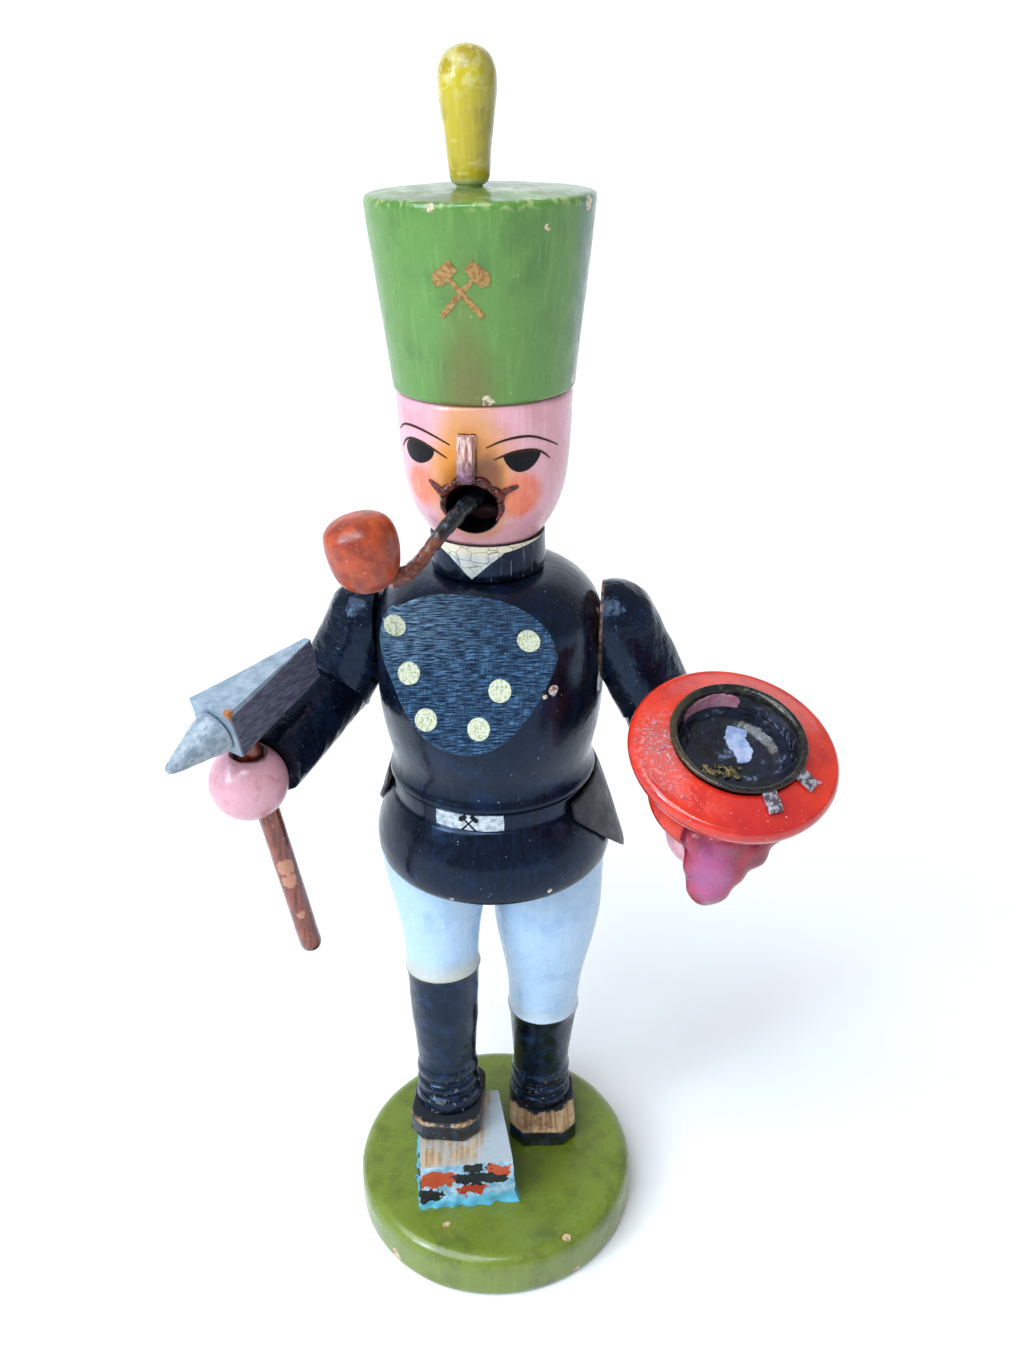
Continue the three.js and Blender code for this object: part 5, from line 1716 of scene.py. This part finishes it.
def make_cup():
    profile = [
        (0, -5.8), (11.9, -5.8), (12.5, -5.2), (12.8, 2.2), (13.9, 2.8), (14.1, 3.4), (13.7, 3.9),
        (12.6, 3.5),
        (12.2, 2.6), (11.4, -4.8), (10.8, -5.2), (0, -5.2),
    ]
    line = dense(filleted(profile, 0.6, 3), 0.8)

    def shape(out, r, h):
        here = out * r + UP * h
        dent = 0.1 * ripple(here, 3.0) + 0.05 * ripple(here, 1.2) if r > 10 else 0
        return r + dent - 0.08

    piece("candle_cup", lathe(line, DISH_CENTRE, DISH_UP, 160, shape=shape), cup_finish(), "upper_body")
    tabs = []
    u, v = dish_directions()
    for angle, length in ((-72, 4.6), (-36, 4.2)):
        a = math.radians(angle)
        out = u * math.cos(a) + v * math.sin(a)
        side = DISH_UP.cross(out)
        line = [DISH_CENTRE + out * 13.6 + DISH_UP * 3.0, DISH_CENTRE + out * 14.7 + DISH_UP * 2.6,
                DISH_CENTRE + out * (13.2 + length) + DISH_UP * 1.6]
        tabs.append(strip(line, side, 3.0, 0.45))
    extra("cup_tabs", joined(*tabs), tab_finish(), "upper_body")


def dish_directions():
    """The dish's own level directions, turned from the world's by the shortest way."""
    turn = UP.rotation_difference(DISH_UP)
    return turn @ Vector((1, 0, 0)), turn @ Vector((0, 1, 0))


def strip(points, side, width, thick):
    """A bent strip of sheet metal along a line."""
    line = dense(filleted(points, 1.2, 4), 0.3)
    half = side.normalized() * width / 2
    verts = []
    for i, p in enumerate(line):
        way = (line[min(i + 1, len(line) - 1)] - line[max(i - 1, 0)]).normalized()
        up = half.normalized().cross(way) * thick / 2
        for j in range(7):
            for sign in (-1, 1):
                across_it = half * (-1 + 2 * j / 6)
                verts.append(p + across_it + up * sign + up.normalized() * 0.22 * ripple(p + across_it, 1.3))
    rows = len(line)
    faces = []
    for i in range(rows - 1):
        a, b = i * 14, (i + 1) * 14
        for j in range(6):
            faces.append((a + 2 * j, a + 2 * j + 2, b + 2 * j + 2, b + 2 * j))
            faces.append((a + 2 * j + 1, a + 2 * j + 3, b + 2 * j + 3, b + 2 * j + 1))
        faces.append((a, a + 1, b + 1, b))
        faces.append((a + 12, a + 13, b + 13, b + 12))
    for a in (0, (rows - 1) * 14):
        for j in range(6):
            faces.append((a + 2 * j, a + 2 * j + 1, a + 2 * j + 3, a + 2 * j + 2))
    return make_mesh(verts, faces)


def blob(centre, size):
    """An egg of wax, to be melted together with others."""
    arc = ball_profile(1, 180, 15)
    arc[0], arc[-1] = (0, -1), (0, 1)
    mesh = lathe(arc, Vector((0, 0, 0)), UP, 24)
    return moved(mesh, lambda p: Vector(centre) + Vector((p.x * size[0], p.y * size[1], p.z * size[2])))


def melted(blobs, voxel=0.45, turns=8):
    """Eggs run together into one skin."""
    return modified(
        joined(*blobs), ("REMESH", {"mode": "VOXEL", "voxel_size": voxel * MM}),
        ("SMOOTH", {"iterations": turns, "factor": 0.5}))


def make_wax():
    lumps = [
        ((46.2, -31.4, 126.6), (6.4, 4.8, 7.6)), ((45.4, -31.8, 121.4), (4.8, 4.2, 5.0)),
        ((51.6, -30.6, 129.8), (6.4, 4.8, 5.6)), ((56, -29.2, 132.2), (4.4, 4.2, 3.8)),
        ((44.2, -29.6, 131.2), (4.8, 4.6, 5)), ((49, -31, 132.4), (5.6, 4.8, 4.8)),
        ((49.4, -31.4, 125.8), (4, 4, 4.6)),
    ]
    mesh = melted([blob(c, r) for c, r in lumps], 0.45, 34)
    moved(mesh, lambda p: p + Vector((ripple(p, 4), ripple(p + UP * 20, 4), ripple(p + UP * 40, 4))) * 0.4)
    hand = blob(LEFT_HAND, (HAND_R + 0.1,) * 3)
    mesh = cut_by(mesh, dish_space(0.05), hand)
    # The last place given is a painted highlight on the run's left lobe.
    wax = wax_finish("wax_magenta", ((118, 12, 40), (158, 24, 54)), (170, 92, 148), 0.58, (45, -36, 126))
    piece("wax_run", mesh, wax, "upper_body", angle=60)


def make_residue():
    """Old wax and soot crumbs left inside the cup, and drops on the dish."""
    u, v = dish_directions()

    def inside(x, y, h):
        return DISH_CENTRE + u * x + v * y + DISH_UP * h

    pale = wax_finish("wax_pale", ((128, 148, 196), (176, 190, 218)), (214, 200, 220), 0.52)
    pink = wax_finish("wax_pink", ((178, 96, 116), (206, 138, 156)), (196, 196, 216), 0.55)

    def on_floor(x, y, lift):
        return inside(x, y, -4.75 + max(0, lift) * 3)

    def on_wall(across_it, h, lift):
        a = across_it / 11.9
        r = 11.45 + 0.1 * (h + 4.8) - max(0, lift) * 1.6
        return inside(r * math.cos(a), r * math.sin(a), h)

    patch = [(0.2, 8.6), (2.2, 9.4), (4.4, 8.4), (4.0, 5.8), (5.0, 3.2), (4.2, 0.4), (1.9, -0.2), (1.0, 2.4),
             (-0.2, 5.0)]
    extra("cup_wax_pale", film(loop(patch), on_floor, 0.14, 0.5, 0.5), pale, "upper_body")
    skin = [(16.4, 0.6), (17.6, 2.0), (21, 2.3), (25, 2.2), (28.6, 1.4), (30.4, -0.4), (28.4, -2.4),
            (25.6, -1.4),
            (22.8, -3.0), (19.6, -1.8), (17.2, -2.4)]
    extra("cup_wax_pink", film(loop(skin), on_wall, 0.14, 0.5, 0.5), pink, "upper_body")
    crumbs = [
        blob(inside(-7.4 + 0.4 * k, -2.9 + 1.3 * math.sin(4.1 * k * k), -4.5),
             (0.55 + 0.3 * math.sin(3 * k), 0.7, 0.6 + 0.3 * math.cos(7 * k)))
        for k in range(24)
    ]
    extra("cup_crumbs", melted(crumbs, 0.25, 1), crumb_finish(), "upper_body")
    bed = [(0, -5.1), (11.2, -5.1), (11.6, -1.0), (11.3, -1.6), (10.6, -3.4), (9.0, -4.5), (5, -4.75),
           (0, -4.8)]

    def crust(out, r, h):
        return r + (0.25 * ripple(out * r + UP * h, 1.6) if 4 < r < 11.1 else 0)

    floor_wax = lathe(dense([Vector(p) for p in bed], 0.6), DISH_CENTRE, DISH_UP, 120, shape=crust)
    old = wax_finish("wax_old", ((7, 8, 16), (20, 28, 48)), (150, 164, 202), 0.57)
    extra("cup_wax_old", floor_wax, old, "upper_body")
    drops = [blob(inside(r * math.cos(a), r * math.sin(a), 2.05 - 0.352 * (r - 14.4)), (s, s, 0.35))
             for a, r, s in ((-0.62, 16.6, 1.1), (-0.5, 17.6, 0.7), (3.3, 15.6, 0.8), (2.9, 16.8, 0.6),
                             (-2.3, 18.4, 0.5))]
    extra("dish_drops", melted(drops, 0.2, 2), pink, "upper_body")


# ---- floor, light and camera ----
def make_floor():
    wide, back, high, bend = 3.0, 2.4, 2.4, 1.0
    side_view = [(-2.4, 0.0), (back - bend, 0.0)]
    turns = [math.radians(k * 5) for k in range(1, 19)]
    side_view += [(back - bend + bend * math.sin(a), bend - bend * math.cos(a)) for a in turns]
    side_view.append((back, high))
    verts = [(x, y, z) for y, z in side_view for x in (-wide, wide)]
    faces = [(2 * k, 2 * k + 1, 2 * k + 3, 2 * k + 2) for k in range(len(side_view) - 1)]
    mesh = bpy.data.meshes.new("floor")
    mesh.from_pydata(verts, [], faces)
    mesh.shade_smooth()
    floor = bpy.data.objects.new("floor", mesh)
    bpy.context.scene.collection.objects.link(floor)
    s = Shade("floor_white")
    s.colour = s.mix((244, 244, 244), (250, 250, 250), s.grain(60, 3))
    mesh.materials.append(s.done(s.rough(0.7, 0.8, 30), [(s.grain(2, 3), 0.01)]))
    floor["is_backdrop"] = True


def area_light(name, place, size, power, colour):
    data = bpy.data.lights.new(name, "AREA")
    data.shape = "RECTANGLE"
    data.size, data.size_y = size
    data.energy = power
    data.color = colour
    light = bpy.data.objects.new(name, data)
    light.location = place
    light.rotation_euler = (Vector((0, 0, 0.14)) - Vector(place)).to_track_quat("-Z", "Y").to_euler()
    bpy.context.scene.collection.objects.link(light)


def make_light():
    world = bpy.data.worlds.new("studio")
    world.use_nodes = True
    world.node_tree.nodes["Background"].inputs[0].default_value = (0.9, 0.95, 1.0, 1.0)
    world.node_tree.nodes["Background"].inputs[1].default_value = 0.42
    bpy.context.scene.world = world
    key = bpy.data.lights.new("soft_key", "SUN")
    key.energy = 3.0
    key.angle = math.radians(55)
    key.color = (0.9, 0.95, 1.0)
    lamp = bpy.data.objects.new("soft_key", key)
    lamp.rotation_euler = Vector((0.5, 0.42, -0.76)).to_track_quat("-Z", "Y").to_euler()
    bpy.context.scene.collection.objects.link(lamp)
    area_light("window_left", (-0.62, -0.4, 0.5), (0.16, 0.3), 2.4, (0.6, 0.8, 1.0))
    area_light("window_top", (-0.1, -0.55, 0.9), (0.4, 0.12), 1.6, (0.75, 0.88, 1.0))


def make_camera():
    """Looks 27 degrees down at the figure, with a slight roll."""
    pitch, roll, yaw = (math.radians(a) for a in CAMERA_TURNS)
    forward = Vector((math.sin(yaw) * math.cos(pitch), math.cos(yaw) * math.cos(pitch), -math.sin(pitch)))
    right = Vector((math.cos(yaw), -math.sin(yaw), 0))
    up = right.cross(forward)
    x = right * math.cos(roll) + up * math.sin(roll)
    y = up * math.cos(roll) - right * math.sin(roll)
    data = bpy.data.cameras.new("camera")
    data.lens = CAMERA_LENS
    data.sensor_width = 36.0
    data.clip_start = 0.01
    camera = bpy.data.objects.new("camera", data)
    turned = Matrix((x, y, -forward)).transposed().to_4x4()
    camera.matrix_world = Matrix.Translation(CAMERA_AT * MM) @ turned
    bpy.context.scene.collection.objects.link(camera)
    bpy.context.scene.camera = camera


def make_all():
    make_camera()
    make_light()
    make_floor()
    make_base()
    make_block()
    make_sole("right_sole", -11.9, 0.6, BLOCK_TOP + 0.15, -6, 0.6, 11.6)
    make_sole("left_sole", 12.9, 10.7, BASE_H + 0.15, -1, 14.6, 9.4)
    make_leg("right_leg", Vector((-11.8, 0.6, 32.4)), Vector((-12.3, 9.6, 101.4)), RIGHT_BOOT_H, 0.7)
    make_leg("left_leg", Vector((12.4, 14.6, 18.6)), Vector((15, 14.6, 101.4)), LEFT_BOOT_H, 0.3)
    make_hips()
    make_buckle()
    make_leather()
    make_plate()
    make_torso()
    make_dots()
    make_collar()
    make_head()
    make_nose()
    make_eyes()
    make_moustache()
    make_hat()
    make_plume()
    make_pipe()
    right_way = make_arm("right", -1, RIGHT_SHOULDER, RIGHT_ELBOW, RIGHT_HAND)
    left_way = make_arm("left", 1, LEFT_SHOULDER, LEFT_ELBOW, LEFT_HAND)
    make_hands(right_way, left_way)
    make_hammer()
    make_dish()
    make_cup()
    make_wax()
    make_residue()


make_all()
bpy.context.scene.view_settings.view_transform = "Standard"
boxes = {"cad": CAD_BOX, "visual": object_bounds()}
{key: [[round(x, 5) for x in corner] for corner in box] for key, box in boxes.items()}
